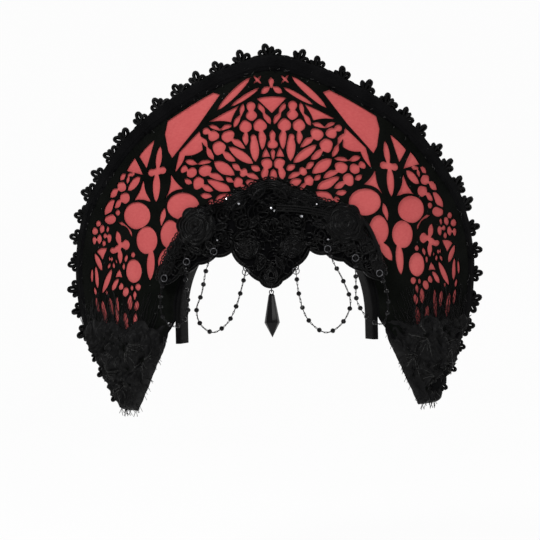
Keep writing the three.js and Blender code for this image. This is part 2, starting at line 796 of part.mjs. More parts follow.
function makeDrop() {
  const profile = dropProfile.map(({ down, radius }) => new THREE.Vector2(radius * dropRadius, -down * dropLength));
  profile.unshift(new THREE.Vector2(0, 0));
  profile.push(new THREE.Vector2(0, -dropLength));
  const stone = new THREE.LatheGeometry(profile.reverse(), dropSides);
  stone.rotateX(Math.PI / 2);
  stone.translate(0, 0, -bailRadius);
  const bail = new THREE.TorusGeometry(bailRadius, bailWire, wireSides, ringSides);
  bail.rotateX(Math.PI / 2);
  const body = solid(stone).add(solid(bail));
  const [s, z] = dropCentre;
  const geometry = geometryOf(meshOf(body));
  const [x, y, up] = bent([s, z - ringRadius, laceMiddle + lean(z)]);
  return geometry.translate(x, y, up);
}

const crown = new THREE.Group();
function addPiece(name, geometry, finish) {
  const mesh = new THREE.Mesh(geometry, finish);
  mesh.name = name;
  crown.add(mesh);
}

addPiece("halo_panel", makePanel(), feltRed);
addPiece("tracery", makeTracery(), overlayBlack);
addPiece("rim_band", makeRim(), ribbonBlack);
addPiece("picot_trim", makePicots(), laceBlack);
addPiece("headband", makeHeadband(), ribbonBlack);
addPiece("lace_band", makeLace(), laceBlack);
roses.forEach((rose, i) => addPiece(`lace_rose_${i + 1}`, makeRose(rose), laceBlack));
addPiece("gather_left", makeGather(-1), laceBlack);
addPiece("gather_right", makeGather(1), laceBlack);
strings.forEach((string, i) => addPiece(`bead_string_${i + 1}`, makeString(string), beadBlack));
addPiece("drop_ring", geometryOf(meshOf(uprightRing(dropCentre))), wireBlack);
addPiece("drop", makeDrop(), beadBlack);

export default crown;
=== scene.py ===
# Halo crown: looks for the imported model. Metres, +Z up, front towards -Y.
# Sheets are drawn flat in millimetres, with a depth forward of the felt, and then bent round an upright axis.
import math
import random

import bmesh
import bpy
from mathutils import Matrix, Vector, noise
from mathutils.kdtree import KDTree


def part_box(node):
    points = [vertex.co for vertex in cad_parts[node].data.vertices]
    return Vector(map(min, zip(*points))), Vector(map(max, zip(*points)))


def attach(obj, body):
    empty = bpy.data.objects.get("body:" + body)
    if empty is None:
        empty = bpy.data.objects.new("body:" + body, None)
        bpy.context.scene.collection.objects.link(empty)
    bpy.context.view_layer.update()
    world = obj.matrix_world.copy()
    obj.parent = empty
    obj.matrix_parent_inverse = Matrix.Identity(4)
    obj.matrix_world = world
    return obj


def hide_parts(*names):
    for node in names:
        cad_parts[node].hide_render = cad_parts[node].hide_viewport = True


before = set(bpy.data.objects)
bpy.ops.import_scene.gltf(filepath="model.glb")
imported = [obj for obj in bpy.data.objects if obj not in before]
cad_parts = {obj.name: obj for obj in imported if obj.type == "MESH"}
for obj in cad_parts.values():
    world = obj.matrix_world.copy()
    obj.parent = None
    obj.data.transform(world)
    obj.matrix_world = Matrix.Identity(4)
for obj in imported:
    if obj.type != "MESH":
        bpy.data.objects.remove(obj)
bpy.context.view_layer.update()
mm = 0.001
print("frame loaded:", len(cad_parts), "nodes")

crown = {  # main sizes, millimetres
    "halfWidth": 208, "rise": 165, "centreDrop": 35, "bendRadius": 200,
    "stripBack": 0.35,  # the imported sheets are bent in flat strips, on average this far behind the bend
    "lean": 0.18,  # the lace leans forward by this share of its depth below the seat
}


# Small helpers

def makeActive(obj):
    bpy.ops.object.select_all(action="DESELECT")
    obj.select_set(True)
    bpy.context.view_layer.objects.active = obj


def applyAll(obj):
    makeActive(obj)
    for modifier in list(obj.modifiers):
        bpy.ops.object.modifier_apply(modifier=modifier.name)


def placeInMesh(obj):
    makeActive(obj)
    bpy.ops.object.transform_apply(location=True, rotation=True, scale=True)
    return obj


def addObject(name, data):
    obj = bpy.data.objects.new(name, data)
    bpy.context.scene.collection.objects.link(obj)
    return obj


def joinAs(name, objs):
    makeActive(objs[0])
    for obj in objs:
        obj.select_set(True)
    bpy.ops.object.join()
    objs[0].name = name
    objs[0].data.name = name
    return objs[0]


def finishPiece(obj, material, slot, *nodes, body="crown", smooth=35):
    makeActive(obj)
    if smooth:
        bpy.ops.object.shade_smooth_by_angle(angle=math.radians(smooth))
    if obj.data.materials:
        obj.data.materials.clear()
    for layer in material if isinstance(material, list) else [material]:
        obj.data.materials.append(layer)
    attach(obj, body)
    if nodes:
        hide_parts(*nodes)
    print("piece:", obj.name, len(obj.data.polygons), "faces")


def finishThreads(name, lines, radius, material, slot):
    finishPiece(bendRound(cords(name, lines, radius)), material, slot, smooth=60)


# Lines in the flat drawing

def smoothLine(points, steps=10):
    pts = [Vector(p) for p in points]
    pts = [2 * pts[0] - pts[1]] + pts + [2 * pts[-1] - pts[-2]]
    line = []
    for a, b, c, d in zip(pts, pts[1:], pts[2:], pts[3:]):
        da, db, dc = [math.sqrt((q - p).length) for p, q in ((a, b), (b, c), (c, d))]
        m = ((b - a) / da - (c - a) / (da + db) + (c - b) / db) * db
        n = ((c - b) / db - (d - b) / (db + dc) + (d - c) / dc) * db
        for i in range(steps):
            t = i / steps
            line.append(b + m * t + (3 * (c - b) - 2 * m - n) * t ** 2 + (2 * (b - c) + m + n) * t ** 3)
    line.append(pts[-2])
    return line


def evenLine(points, count):
    lengths = [0.0]
    for p, q in zip(points, points[1:]):
        lengths.append(lengths[-1] + (q - p).length)
    line = []
    k = 0
    for i in range(count + 1):
        at = lengths[-1] * i / count
        while k < len(points) - 2 and lengths[k + 1] < at:
            k += 1
        share = (at - lengths[k]) / max(lengths[k + 1] - lengths[k], 1e-9)
        line.append(points[k].lerp(points[k + 1], share))
    return line


def lineLength(points):
    return sum((q - p).length for p, q in zip(points, points[1:]))
def offsetLine(line, inset, closed=False):
    count = len(line)
    moved = []
    for i, p in enumerate(line):
        after, before = ((i + 1) % count, i - 1) if closed else (min(i + 1, count - 1), max(i - 1, 0))
        way = (line[after] - line[before]).normalized()
        moved.append(Vector((p.x + way.y * inset, p.y - way.x * inset)))
    return moved


def spot(across, up):
    return Vector((across * crown["halfWidth"], up * crown["rise"] - crown["centreDrop"]))


def mirrored(line):
    return [Vector((-p.x, p.y)) for p in line]


def closedUp(line):
    return line + line[:1]


def toward(angle):
    return Vector((math.cos(angle), math.sin(angle)))


def bumpy(x, y, z):
    return noise.noise(Vector((x, y, z)))


def onSheet(line, depth):
    return [(p.x, -depth, p.y) for p in line]


def doubleArea(outline):
    return sum(a.x * b.y - b.x * a.y for a, b in zip(outline, outline[1:] + outline[:1]))


def flatSize(outline):
    xs, zs = [p.x for p in outline], [p.y for p in outline]
    return (max(xs) - min(xs)) * mm, (max(zs) - min(zs)) * mm


# From the flat drawing to the bent crown

def bentPoint(s, z, depth):
    depth -= crown["stripBack"]
    radius = crown["bendRadius"] + depth
    angle = s / crown["bendRadius"]
    return Vector((radius * math.sin(angle), crown["bendRadius"] - radius * math.cos(angle), z)) * mm


def leanOf(z):
    return crown["lean"] * max(0, -z)


def bendRound(obj, leaning=False):
    for v in obj.data.vertices:
        v.co.y += (crown["stripBack"] - (leanOf(v.co.z / mm) if leaning else 0)) * mm
    xs = [v.co.x for v in obj.data.vertices]
    makeActive(obj)
    bend = obj.modifiers.new("Bend", "SIMPLE_DEFORM")
    bend.deform_method = "BEND"
    bend.deform_axis = "Z"
    bend.angle = (max(xs) - min(xs)) / (crown["bendRadius"] * mm)
    applyAll(obj)
    return obj


def sliceAcross(obj, step, levels=()):
    xs = [v.co.x / mm for v in obj.data.vertices]
    makeActive(obj)
    bpy.ops.object.mode_set(mode="EDIT")
    first, last = math.ceil(min(xs) / step), math.floor(max(xs) / step)
    for i in range(first, last + 1):
        bpy.ops.mesh.select_all(action="SELECT")
        bpy.ops.mesh.bisect(plane_co=(i * step * mm, 0, 0), plane_no=(1, 0, 0))
    for z in levels:
        bpy.ops.mesh.select_all(action="SELECT")
        bpy.ops.mesh.bisect(plane_co=(0, 0, z * mm), plane_no=(0, 0, 1))
    bpy.ops.object.mode_set(mode="OBJECT")


def newCurve(name, dimensions, lines, closed=False):
    curve = bpy.data.curves.new(name, "CURVE")
    curve.dimensions = dimensions
    for line in lines:
        spline = curve.splines.new("POLY")
        spline.points.add(len(line) - 1)
        for point, p in zip(spline.points, line):
            point.co = (*(c * mm for c in p), *(0,) * (3 - len(p)), 1)
        spline.use_cyclic_u = closed
    return curve


def toMesh(name, curve):
    makeActive(addObject(name, curve))
    bpy.ops.object.convert(target="MESH")
    return bpy.context.object


def cleanUp(obj):
    makeActive(obj)
    bpy.ops.object.mode_set(mode="EDIT")
    bpy.ops.mesh.select_all(action="SELECT")
    bpy.ops.mesh.remove_doubles(threshold=1e-6)
    bpy.ops.mesh.normals_make_consistent(inside=False)
    bpy.ops.object.mode_set(mode="OBJECT")


def flatToFront(name, curve, depth):
    obj = toMesh(name, curve)
    obj.rotation_euler.x = math.pi / 2
    obj.location.y = -depth * mm
    cleanUp(placeInMesh(obj))
    return obj


def flatPlate(name, outlines, back, front):
    curve = newCurve(name, "2D", outlines, closed=True)
    curve.fill_mode = "BOTH"
    curve.extrude = (front - back) / 2 * mm
    return flatToFront(name, curve, (front + back) / 2)


def sweptBand(name, path, profile):
    section = addObject(name + "Section", newCurve(name + "Section", "2D", [profile], closed=True))
    curve = newCurve(name, "2D", [path])
    curve.bevel_mode = "OBJECT"
    curve.bevel_object = section
    curve.use_fill_caps = True
    obj = flatToFront(name, curve, 0)
    bpy.data.objects.remove(section)
    return obj


def cords(name, paths, radius, sides=2, closed=False):
    curve = newCurve(name, "3D", paths, closed)
    curve.bevel_depth = radius * mm
    curve.bevel_resolution = sides - 2
    curve.use_fill_caps = not closed
    return toMesh(name, curve)


def torus(radius, wire, place, turn, segments=28, sides=8):
    bpy.ops.mesh.primitive_torus_add(
        major_radius=radius * mm, minor_radius=wire * mm, major_segments=segments, minor_segments=sides,
        location=place, rotation=turn)
    return placeInMesh(bpy.context.object)


def ball(segments, rings, half, place=(0, 0, 0)):
    bpy.ops.mesh.primitive_uv_sphere_add(segments=segments, ring_count=rings, radius=1)
    obj = bpy.context.object
    obj.scale = Vector(half) * mm
    obj.location = Vector(place) * mm
    return placeInMesh(obj)


def copies(name, pattern, places):
    mesh = bmesh.new()
    for place in places:
        first = len(mesh.verts)
        mesh.from_mesh(pattern.data)
        mesh.verts.ensure_lookup_table()
        bmesh.ops.transform(mesh, matrix=place, verts=mesh.verts[first:])
    data = bpy.data.meshes.new(name)
    mesh.to_mesh(data)
    mesh.free()
    return addObject(name, data)


# Camera

view = {
    "aim": Vector((-0.0045, 0, -0.045)), "distance": 1.6, "elevation": 1.5, "roll": -1.32,
    "frameWidth": 0.4428,  # what the picture's width spans at the aim
    "sensor": 36,
}


def makeCamera():
    data = bpy.data.cameras.new("camera")
    camera = addObject("camera", data)
    lift = math.radians(view["elevation"])
    back = Vector((0, -math.cos(lift), math.sin(lift)))
    camera.location = view["aim"] + back * view["distance"]
    turn = (-back).to_track_quat("-Z", "Y").to_matrix() @ Matrix.Rotation(math.radians(view["roll"]), 3, "Z")
    camera.rotation_euler = turn.to_euler()
    data.sensor_width = view["sensor"]
    data.lens = view["sensor"] * view["distance"] / view["frameWidth"]
    data.clip_start = 0.05
    data.clip_end = 30
    bpy.context.scene.camera = camera


makeCamera()


# Shader groups

def feed(tree, node, inputs):
    for label, value in inputs.items():
        socket = node.inputs[label]
        if isinstance(value, bpy.types.NodeSocket):
            tree.links.new(value, socket)
        elif isinstance(value, (tuple, list)) and len(socket.default_value) == 4:
            socket.default_value = (*value, 1)
        else:
            socket.default_value = value


def addNode(tree, kind, inputs, **settings):
    node = tree.nodes.new("ShaderNode" + kind)
    for label, value in settings.items():
        setattr(node, label, value)
    feed(tree, node, inputs)
    return node.outputs


def noiseNode(tree, vector, scale, detail):
    return addNode(tree, "TexNoise", {"Vector": vector, "Scale": scale, "Detail": detail})["Fac"]


def rampNode(tree, value, low, high, to=(0, 1)):
    limits = {"From Min": low, "From Max": high, "To Min": to[0], "To Max": to[1]}
    return addNode(tree, "MapRange", {"Value": value, **limits})["Result"]


def mathNode(tree, kind, a, b):
    return addNode(tree, "Math", {0: a, 1: b}, operation=kind)["Value"]


def mixNode(tree, share, first, second):
    return addNode(tree, "Mix", {"Factor": share, 6: first, 7: second}, data_type="RGBA")[2]


def bumpNode(tree, height, strength, distance):
    return addNode(tree, "Bump", {"Height": height, "Strength": strength, "Distance": distance})["Normal"]


def newGroup(name, inputs, outputs):
    group = bpy.data.node_groups.new(name, "ShaderNodeTree")
    group.interface.new_socket("Vector", in_out="INPUT", socket_type="NodeSocketVector")
    for label, value in inputs.items():
        socket = group.interface.new_socket(label, in_out="INPUT", socket_type="NodeSocketFloat")
        socket.default_value = value
    for label in outputs:
        group.interface.new_socket(label, in_out="OUTPUT", socket_type="NodeSocketFloat")
    return group, group.nodes.new("NodeGroupInput").outputs, group.nodes.new("NodeGroupOutput")


def makeFibreGroup():
    # loose fibres of felt and velvet: fine crossing noise and slow patches
    scales = {"Fibre Scale": 900, "Patch Scale": 25}
    group, given, end = newGroup("fibres", scales, ["Height", "Fibre", "Patch"])
    fine = noiseNode(group, given["Vector"], given["Fibre Scale"], 4)
    slant = {"Vector": given["Vector"], "Scale": (0.35, 1, 1), "Rotation": (0, math.radians(35), 0)}
    strands = noiseNode(group, addNode(group, "Mapping", slant)["Vector"], given["Fibre Scale"], 5)
    patch = noiseNode(group, given["Vector"], given["Patch Scale"], 2)
    height = mathNode(group, "MULTIPLY", mathNode(group, "ADD", fine, strands), 0.5)
    feed(group, end, {"Height": height, "Fibre": strands, "Patch": patch})
    return group


def makeTwistGroup():
    # twisted thread: slanting ridges, broken by noise, and a crest mask for a painted highlight on their
    # crests
    group, given, end = newGroup("twist", {"Ridge Scale": 900}, ["Height", "Crest"])
    ridges = {"Vector": given["Vector"], "Scale": given["Ridge Scale"], "Distortion": 2.5, "Detail": 2}
    wave = addNode(group, "TexWave", ridges, bands_direction="DIAGONAL")["Fac"]
    grain = noiseNode(group, given["Vector"], 1500, 3)
    crestHighlight = mathNode(group, "MULTIPLY", wave, grain)
    feed(group, end, {"Height": mathNode(group, "ADD", wave, grain), "Crest": crestHighlight})
    return group


def makeLintGroup():
    # sparse pale specks of lint
    group, given, end = newGroup("lint", {"Speck Scale": 160, "Amount": 0.06}, ["Mask"])
    cells = addNode(group, "TexVoronoi", {"Vector": given["Vector"], "Scale": given["Speck Scale"]})
    feed(group, end, {"Mask": mathNode(group, "LESS_THAN", cells["Distance"], given["Amount"])})
    return group


fibreGroup = makeFibreGroup()
twistGroup = makeTwistGroup()
lintGroup = makeLintGroup()


# Materials

def newMaterial(name):
    material = bpy.data.materials.new(name)
    material.use_nodes = True
    tree = material.node_tree
    return material, tree, tree.nodes["Principled BSDF"], addNode(tree, "TexCoord", {})["Object"]


def fibreCloth(name, dark, light, fibreScale, patchScale, sheen, gloss, strength, lint=0):
    material, tree, shader, place = newMaterial(name)
    scales = {"Vector": place, "Fibre Scale": fibreScale, "Patch Scale": patchScale}
    fibres = addNode(tree, "Group", scales, node_tree=fibreGroup)
    fleck = rampNode(tree, fibres["Fibre"], 0.3, 0.75)
    patch = rampNode(tree, fibres["Patch"], 0.35, 0.7)
    share = mathNode(tree, "MULTIPLY", mathNode(tree, "ADD", fleck, patch), 0.5)
    colour = mixNode(tree, share, dark, light)
    if lint:
        specks = addNode(tree, "Group", {"Vector": place, "Amount": lint}, node_tree=lintGroup)
        colour = mixNode(tree, specks["Mask"], colour, (0.25, 0.25, 0.25))
    feed(tree, shader, {
        "Base Color": colour, "Roughness": rampNode(tree, fibres["Fibre"], 0.2, 0.8, (0.98, 0.82)),
        "Sheen Weight": sheen, "Sheen Roughness": 0.4, "Specular IOR Level": gloss,
        "Normal": bumpNode(tree, fibres["Height"], strength, 0.0006),
    })
    return material


def threadCloth(name, dark, light, ridgeScale, roughness, gloss, strength):
    material, tree, shader, place = newMaterial(name)
    twist = addNode(tree, "Group", {"Vector": place, "Ridge Scale": ridgeScale}, node_tree=twistGroup)
    # painted highlight: the crests get the lighter colour; their lower roughness is real gloss
    crestHighlight = rampNode(tree, twist["Crest"], 0.15, 0.7)
    feed(tree, shader, {
        "Base Color": mixNode(tree, crestHighlight, dark, light), "Specular IOR Level": gloss,
        "Roughness": rampNode(tree, crestHighlight, 0, 1, (roughness + 0.15, roughness)),
        "Normal": bumpNode(tree, twist["Height"], strength, 0.0003),
    })
    return material


def glassyBlack(name):
    material, tree, shader, place = newMaterial(name)
    haze = noiseNode(tree, place, 300, 3)
    feed(tree, shader, {
        "Base Color": mixNode(tree, haze, (0.002, 0.002, 0.0025), (0.006, 0.0055, 0.006)),
        "Roughness": rampNode(tree, haze, 0.3, 0.8, (0.08, 0.18)), "Specular IOR Level": 0.14,
    })
    return material


def darkMetal(name, base, roughness):
    material, tree, shader, place = newMaterial(name)
    wear = noiseNode(tree, place, 700, 4)
    feed(tree, shader, {
        "Base Color": mixNode(tree, wear, base, [c * 2.2 for c in base]), "Metallic": 0.95,
        "Roughness": rampNode(tree, wear, 0.3, 0.7, (roughness, roughness + 0.2)),
    })
    return material


# dark and light colour, fibre and patch scale, sheen, gloss, bump, share of lint
feltRed = fibreCloth("feltRed", (0.42, 0.066, 0.068), (0.51, 0.102, 0.099), 700, 18, 0.06, 0.2, 0.45)
overlayBlack = fibreCloth(
    "overlayBlack", (0.001, 0.0014, 0.001), (0.0045, 0.005, 0.0042), 1100, 40, 0, 0.03, 0.7, 0.03)
ribbonBlack = fibreCloth(
    "ribbonBlack", (0.0008, 0.0008, 0.001), (0.0036, 0.0036, 0.004), 1300, 60, 0, 0.05, 0.6, 0.02)
scorchedEdge = fibreCloth(
    "scorchedEdge", (0.006, 0.004, 0.001), (0.022, 0.014, 0.006), 1200, 90, 0, 0.05, 0.4)
laceGround = fibreCloth(
    "laceGround", (0.0006, 0.0006, 0.0008), (0.0025, 0.0025, 0.003), 1500, 80, 0, 0.03, 0.9)
# dark colour and light colour (the painted highlight on the thread crests), ridge scale, roughness, gloss,
# bump
darkThread, softBlack = (0.0002, 0.0002, 0.0003), (0.0006, 0.0006, 0.0007)
laceThread = threadCloth("laceThread", darkThread, (0.0018, 0.0018, 0.002), 900, 0.2, 0.15, 0.6)
edgingThread = threadCloth("edgingThread", darkThread, (0.0014, 0.0014, 0.0016), 900, 0.35, 0.09, 0.5)
rollSatin = threadCloth("rollSatin", darkThread, (0.0014, 0.0014, 0.0016), 700, 0.3, 0.09, 0.3)
padSatin = threadCloth("padSatin", softBlack, (0.003, 0.003, 0.0034), 500, 0.5, 0.05, 0.4)
gatherCloth = threadCloth("gatherCloth", softBlack, (0.004, 0.004, 0.0044), 2600, 0.4, 0.1, 0.25)
# pale grey thread: partly the thread's own colour, partly painted glint
stitchThread = threadCloth("stitchThread", (0.02, 0.02, 0.02), (0.12, 0.12, 0.115), 1500, 0.5, 0.3, 0.8)
beadBlack = glassyBlack("beadBlack")
wireMetal = darkMetal("wireMetal", (0.006, 0.0058, 0.0063), 0.35)
ringMetal = darkMetal("ringMetal", (0.06, 0.06, 0.064), 0.25)
crystalMetal = darkMetal("crystalMetal", (0.35, 0.35, 0.37), 0.1)
print("materials made")


# Outline of the crescent

outerEdge = [  # from the middle to a lower end, shares of half width and rise
    (0.0, 1.005), (0.196, 0.94), (0.396, 0.818), (0.588, 0.672), (0.76, 0.479), (0.916, 0.265),
    (0.998, 0.003), (0.972, -0.277), (0.878, -0.46), (0.79, -0.605), (0.7, -0.735),
]
innerEdge = [(0.645, -0.755), (0.59, -0.64), (0.5, -0.44)]
arch = {"halfWidth": 82, "rise": 85, "leg": 20, "thickness": 5, "depth": 18, "front": 1.8}


def haloLine(inset=0, count=200):
    half = [spot(*p) for p in outerEdge]
    line = evenLine(smoothLine(mirrored(half[:0:-1]) + half, 12), count)
    return offsetLine(line, inset)


def archLine(offset, steps=48):
    across, up = arch["halfWidth"] + offset, arch["rise"] + offset
    angles = [math.pi * i / steps for i in range(steps + 1)]
    return [Vector((across * math.cos(angle), up * math.sin(angle) - arch["rise"])) for angle in angles]


def crescent(inset):
    right = smoothLine([spot(*p) for p in innerEdge], 6)
    return haloLine(inset, 120) + right + archLine(board["archInset"]) + mirrored(right)[::-1]


# Felt-covered board

board = {"thickness": 3, "inset": 1.5, "archInset": arch["thickness"] + 0.3, "step": 5}
binding = {"inset": 0.2, "depth": 0.6, "radius": 1.25}


def boundEdge(plate):
    for face in plate.data.polygons:
        face.material_index = 1 if abs(face.normal.y) < 0.5 else 0


def makeFelt():
    outline = crescent(board["inset"])
    felt = flatPlate("felt_board", [outline], -board["thickness"], 0)
    sliceAcross(felt, board["step"])
    boundEdge(felt)
    bendRound(felt)
    finishPiece(felt, [feltRed, ribbonBlack], "felt", "halo_panel")


def makeInnerBinding():
    right = smoothLine([spot(*p) for p in innerEdge] + archLine(board["archInset"])[:9:2], 10)
    line = offsetLine(right, binding["inset"])
    edges = [onSheet(line, binding["depth"]), onSheet(mirrored(line), binding["depth"])]
    edging = bendRound(cords("inner_binding", edges, binding["radius"], 4))
    finishPiece(edging, ribbonBlack, "ribbon", smooth=60)


makeFelt()
makeInnerBinding()


# Pierced overlay

tracery = {
    "back": 0.3, "front": 1.5, "inset": 12.8, "border": 1.5, "step": 5, "full": 0.75,
    "grow": 0.5, "growSmall": 1.4, "smallCell": 19, "bar": 1.5, "sample": 0.8, "near": 60, "apart": 0.5,
}

# Cells of the left half, in thousandths of half width (to the left) and rise.
# Panes: corners with the bulge of the edge that follows
panes = [
    [(250, 684, 0), (131, 757, 0.05), (164, 681, 0.06)],
    [(425, 704, 0), (441, 632, 0), (428, 545, 0), (412, 513, 0), (303, 659, 0),
     (207, 815, 0), (243, 830, 0), (305, 790, 0), (370, 750, 0)],
    [(293, 635, -0.06), (282, 546, -0.1), (356, 523, -0.08), (401, 439, 0), (378, 536, 0)],
    [(566, 526, 0), (532, 465, 0), (491, 602, 0.03)],
    [(632, 456, 0), (556, 436, 0), (591, 509, 0)],
    [(419, 425, -0.1), (454, 296, -0.14), (370, 356, -0.06)],
    [(550, 397, -0.12), (604, 299, -0.14), (522, 300, -0.12)],
    [(825, 44, -0.04), (791, 9, -0.04), (765, 58, 0.06)],
    [(27, 541, 0), (41, 502, 0), (12, 502, 0)],
    [(690, -54, 0), (711, -83, -0.08), (679, -80, 0)],
    [(683, 191, -0.2), (615, 122, 0.13)],
]
# Pointed leaves: from, to, width
leaves = [
    # long leaves by the apex
    (215, 742, 83, 895, 29), (160, 757, 50, 842, 18), (67, 901, 42, 867, 12), (41, 900, 67, 868, 12),
    (3, 850, 35, 822, 16),
    # rose, upright petal
    (50, 765, 28, 714, 20), (37, 727, 10, 669, 18), (114, 762, 124, 700, 16), (121, 718, 149, 659, 16),
    (105, 637, 105, 563, 23), (44, 645, 41, 541, 29), (74, 616, 69, 482, 41), (27, 461, 35, 397, 29),
    # rose, slanting petal
    (172, 554, 80, 471, 39), (167, 598, 111, 548, 24), (204, 537, 153, 488, 24), (249, 662, 202, 639, 15),
    (211, 640, 164, 660, 15), (287, 611, 259, 555, 21), (266, 565, 239, 501, 18),
    # rose, low petal
    (228, 478, 158, 419, 41), (268, 430, 199, 391, 25), (294, 372, 245, 343, 25), (262, 394, 176, 340, 37),
    (351, 491, 300, 475, 15), (306, 476, 250, 485, 16), (158, 466, 126, 435, 18), (185, 404, 157, 379, 16),
    (355, 398, 327, 380, 17), (113, 423, 60, 393, 21), (85, 459, 57, 438, 16), (135, 372, 105, 343, 18),
    (286, 319, 250, 312, 16), (240, 280, 172, 319, 31),
    # upper cross and the bars beside it
    (484, 452, 491, 293, 41), (465, 571, 482, 441, 32), (527, 437, 439, 453, 36), (452, 256, 470, 166, 18),
    (428, 76, 484, -23, 36),
    # side arch
    (630, 360, 570, 415, 32), (728, 329, 680, 366, 27), (710, 270, 662, 311, 30), (769, 235, 707, 306, 39),
    (673, 408, 638, 438, 20), (635, 433, 590, 439, 19), (635, 388, 622, 436, 20),
    # lower cross and its neighbours
    (697, 142, 678, 59, 33), (686, 75, 685, -17, 32), (732, 38, 665, 79, 35), (519, 64, 529, -102, 46),
    # slim leaves at the side
    (843, 30, 798, -45, 29), (840, -36, 830, -143, 26), (799, -172, 733, -47, 37),
    (734, -148, 697, -101, 20), (865, -50, 870, -110, 18), (609, -159, 608, -206, 14),
    (632, -183, 637, -248, 23), (598, -205, 603, -251, 20), (852, -147, 842, -174, 15),
    (622, -134, 620, -153, 12), (646, 19, 655, -10, 14), (745, 23, 748, -8, 14), (740, -16, 756, -36, 13),
    # dim cells behind the netting
    (842, -200, 825, -265, 18), (800, -215, 777, -330, 26), (752, -200, 732, -280, 22),
    (706, -185, 710, -340, 28), (664, -275, 655, -350, 20), (606, -275, 615, -370, 20),
]
# Round cells: middle, half width and half height
rounds = [
    # rose
    (82, 747, 18, 21), (81, 711, 22, 25), (105, 652, 25, 29), (47, 656, 28, 29), (75, 597, 15, 17),
    (236, 617, 26, 23), (260, 635, 18, 14), (175, 608, 28, 27), (212, 550, 30, 30), (360, 452, 20, 15),
    (331, 434, 25, 22), (271, 442, 30, 28), (301, 380, 29, 27), (117, 426, 19, 19), (140, 378, 23, 22),
    (87, 376, 25, 16), (248, 284, 13, 12), (24, 467, 24, 27),
    # upper cross and side arch
    (509, 440, 23, 19), (457, 450, 23, 19), (665, 374, 32, 25), (652, 317, 32, 25), (737, 212, 39, 19),
    (691, 245, 12, 10),
    # cluster of small rounds
    (810, 187, 21, 12), (790, 161, 22, 20), (836, 149, 25, 15), (755, 155, 10, 14), (771, 126, 18, 13),
    (809, 109, 24, 22), (841, 105, 18, 17), (748, 116, 16, 20), (782, 89, 15, 13),
    # large and lower rounds
    (588, 225, 85, 67), (541, 100, 64, 69), (611, -56, 52, 58), (371, 267, 87, 65), (430, 125, 55, 72),
    (655, 78, 28, 20), (722, 49, 26, 16), (612, 24, 9, 9), (734, 4, 10, 12), (722, -24, 10, 12),
    (706, -7, 8, 8), (680, -137, 17, 14), (659, -160, 19, 19), (592, -135, 14, 13), (772, -165, 10, 8),
    (662, -33, 8, 15),
]
# Cells on the middle line
middlePanes = [[(55, 790, 0), (0, 720, 0), (-55, 790, 0.05)]]
middleLeaves = [
    (0, 884, 0, 840, 17), (0, 541, 0, 488, 19), (0, 437, 0, 387, 31), (0, 624, 0, 553, 24),
]
middleRounds = [(0, 564, 23, 22)]


def leftSpot(across, up):
    return spot(-across / 1000, up / 1000)


def roundCell(centre, across, up, sides=28):
    line = []
    for i in range(sides):
        angle = 2 * math.pi * i / sides
        line.append(Vector((centre.x + across * math.cos(angle), centre.y + up * math.sin(angle))))
    return line


def arcLine(a, b, bulge, steps=8):
    line = []
    for i in range(steps):
        t = i / steps
        out = 4 * bulge * t * (1 - t)
        across, up = b.x - a.x, b.y - a.y
        line.append(Vector((a.x + across * t + up * out, a.y + up * t - across * out)))
    return line


def leafCell(start, end, width, full=1, steps=10):
    way = end - start
    side = Vector((way.y, -way.x)).normalized() * width / 2
    line = []
    for sign in (1, -1):
        for i in range(steps):
            t = i / steps
            along = t if sign == 1 else 1 - t
            line.append(start + way * along + side * sign * (4 * t * (1 - t)) ** full)
    return line


def paneCell(corners):
    line = []
    for (across, up, bulge), following in zip(corners, corners[1:] + corners[:1]):
        line += arcLine(leftSpot(across, up), leftSpot(*following[:2]), bulge, 8 if bulge else 2)
    return line


def cellsOf(paneRows, leafRows, roundRows):
    rise = crown["rise"]
    cells = [paneCell(row) for row in paneRows]
    for x, z, tipX, tipZ, width in leafRows:
        cells.append(leafCell(leftSpot(x, z), leftSpot(tipX, tipZ), width / 1000 * rise, tracery["full"]))
    for x, z, across, up in roundRows:
        cells.append(roundCell(leftSpot(x, z), across / 1000 * rise, up / 1000 * rise))
    return cells


def grown(cell, own, points):
    # small cells grow until only a thin bar is left to their neighbours, large ones by a fixed share
    small = max(flatSize(cell)) < tracery["smallCell"] * mm
    most = tracery["growSmall"] if small else tracery["grow"]
    reaches = []
    for p in cell:
        near = [d for _, k, d in points.find_n((p.x, p.y, 0), tracery["near"]) if not own[0] <= k < own[1]]
        reaches.append(max(0, min(most, (min(near, default=9) - tracery["bar"]) / 2)))
    outward = -1 if doubleArea(cell) > 0 else 1
    line = []
    for i, p in enumerate(cell):
        following = (i + 1) % len(cell)
        before, after = (p - cell[i - 1]).normalized(), (cell[following] - p).normalized()
        way = (before + after).normalized()
        reach = (reaches[i - 1] + 2 * reaches[i] + reaches[following]) / 4
        reach = min(reach / max(0.6, way.dot(after)), reach + 0.5)
        line.append(Vector((p.x - way.y * reach * outward, p.y + way.x * reach * outward)))
    return line


def allCells():
    left = cellsOf(panes, leaves, rounds)
    whole = left + [mirrored(cell)[::-1] for cell in left] + cellsOf(middlePanes, middleLeaves, middleRounds)
    sampled = []
    for cell in whole:
        steps = max(8, int(lineLength(cell) / tracery["sample"]))
        sampled.append(evenLine(closedUp(cell), steps))
    points = KDTree(sum(len(line) for line in sampled))
    owns = []
    first = 0
    for line in sampled:
        owns.append((first, first + len(line)))
        for k, p in enumerate(line):
            points.insert((p.x, p.y, 0), first + k)
        first += len(line)
    points.balance()
    return [grown(cell, own, points) for cell, own in zip(whole, owns)]


def boxOf(line):
    xs, ys = [p.x for p in line], [p.y for p in line]
    return min(xs), max(xs), min(ys), max(ys)


def apart(a, b):
    gap = tracery["apart"]
    return a[1] + gap < b[0] or b[1] + gap < a[0] or a[3] + gap < b[2] or b[3] + gap < a[2]


def sortInLayers(cells):
    # cells of one layer stand apart, so that each layer can be cut at once
    layers = []
    for cell in cells:
        for layer in layers:
            if all(apart(boxOf(cell), boxOf(other)) for other in layer):
                layer.append(cell)
                break
        else:
            layers.append([cell])
    return layers


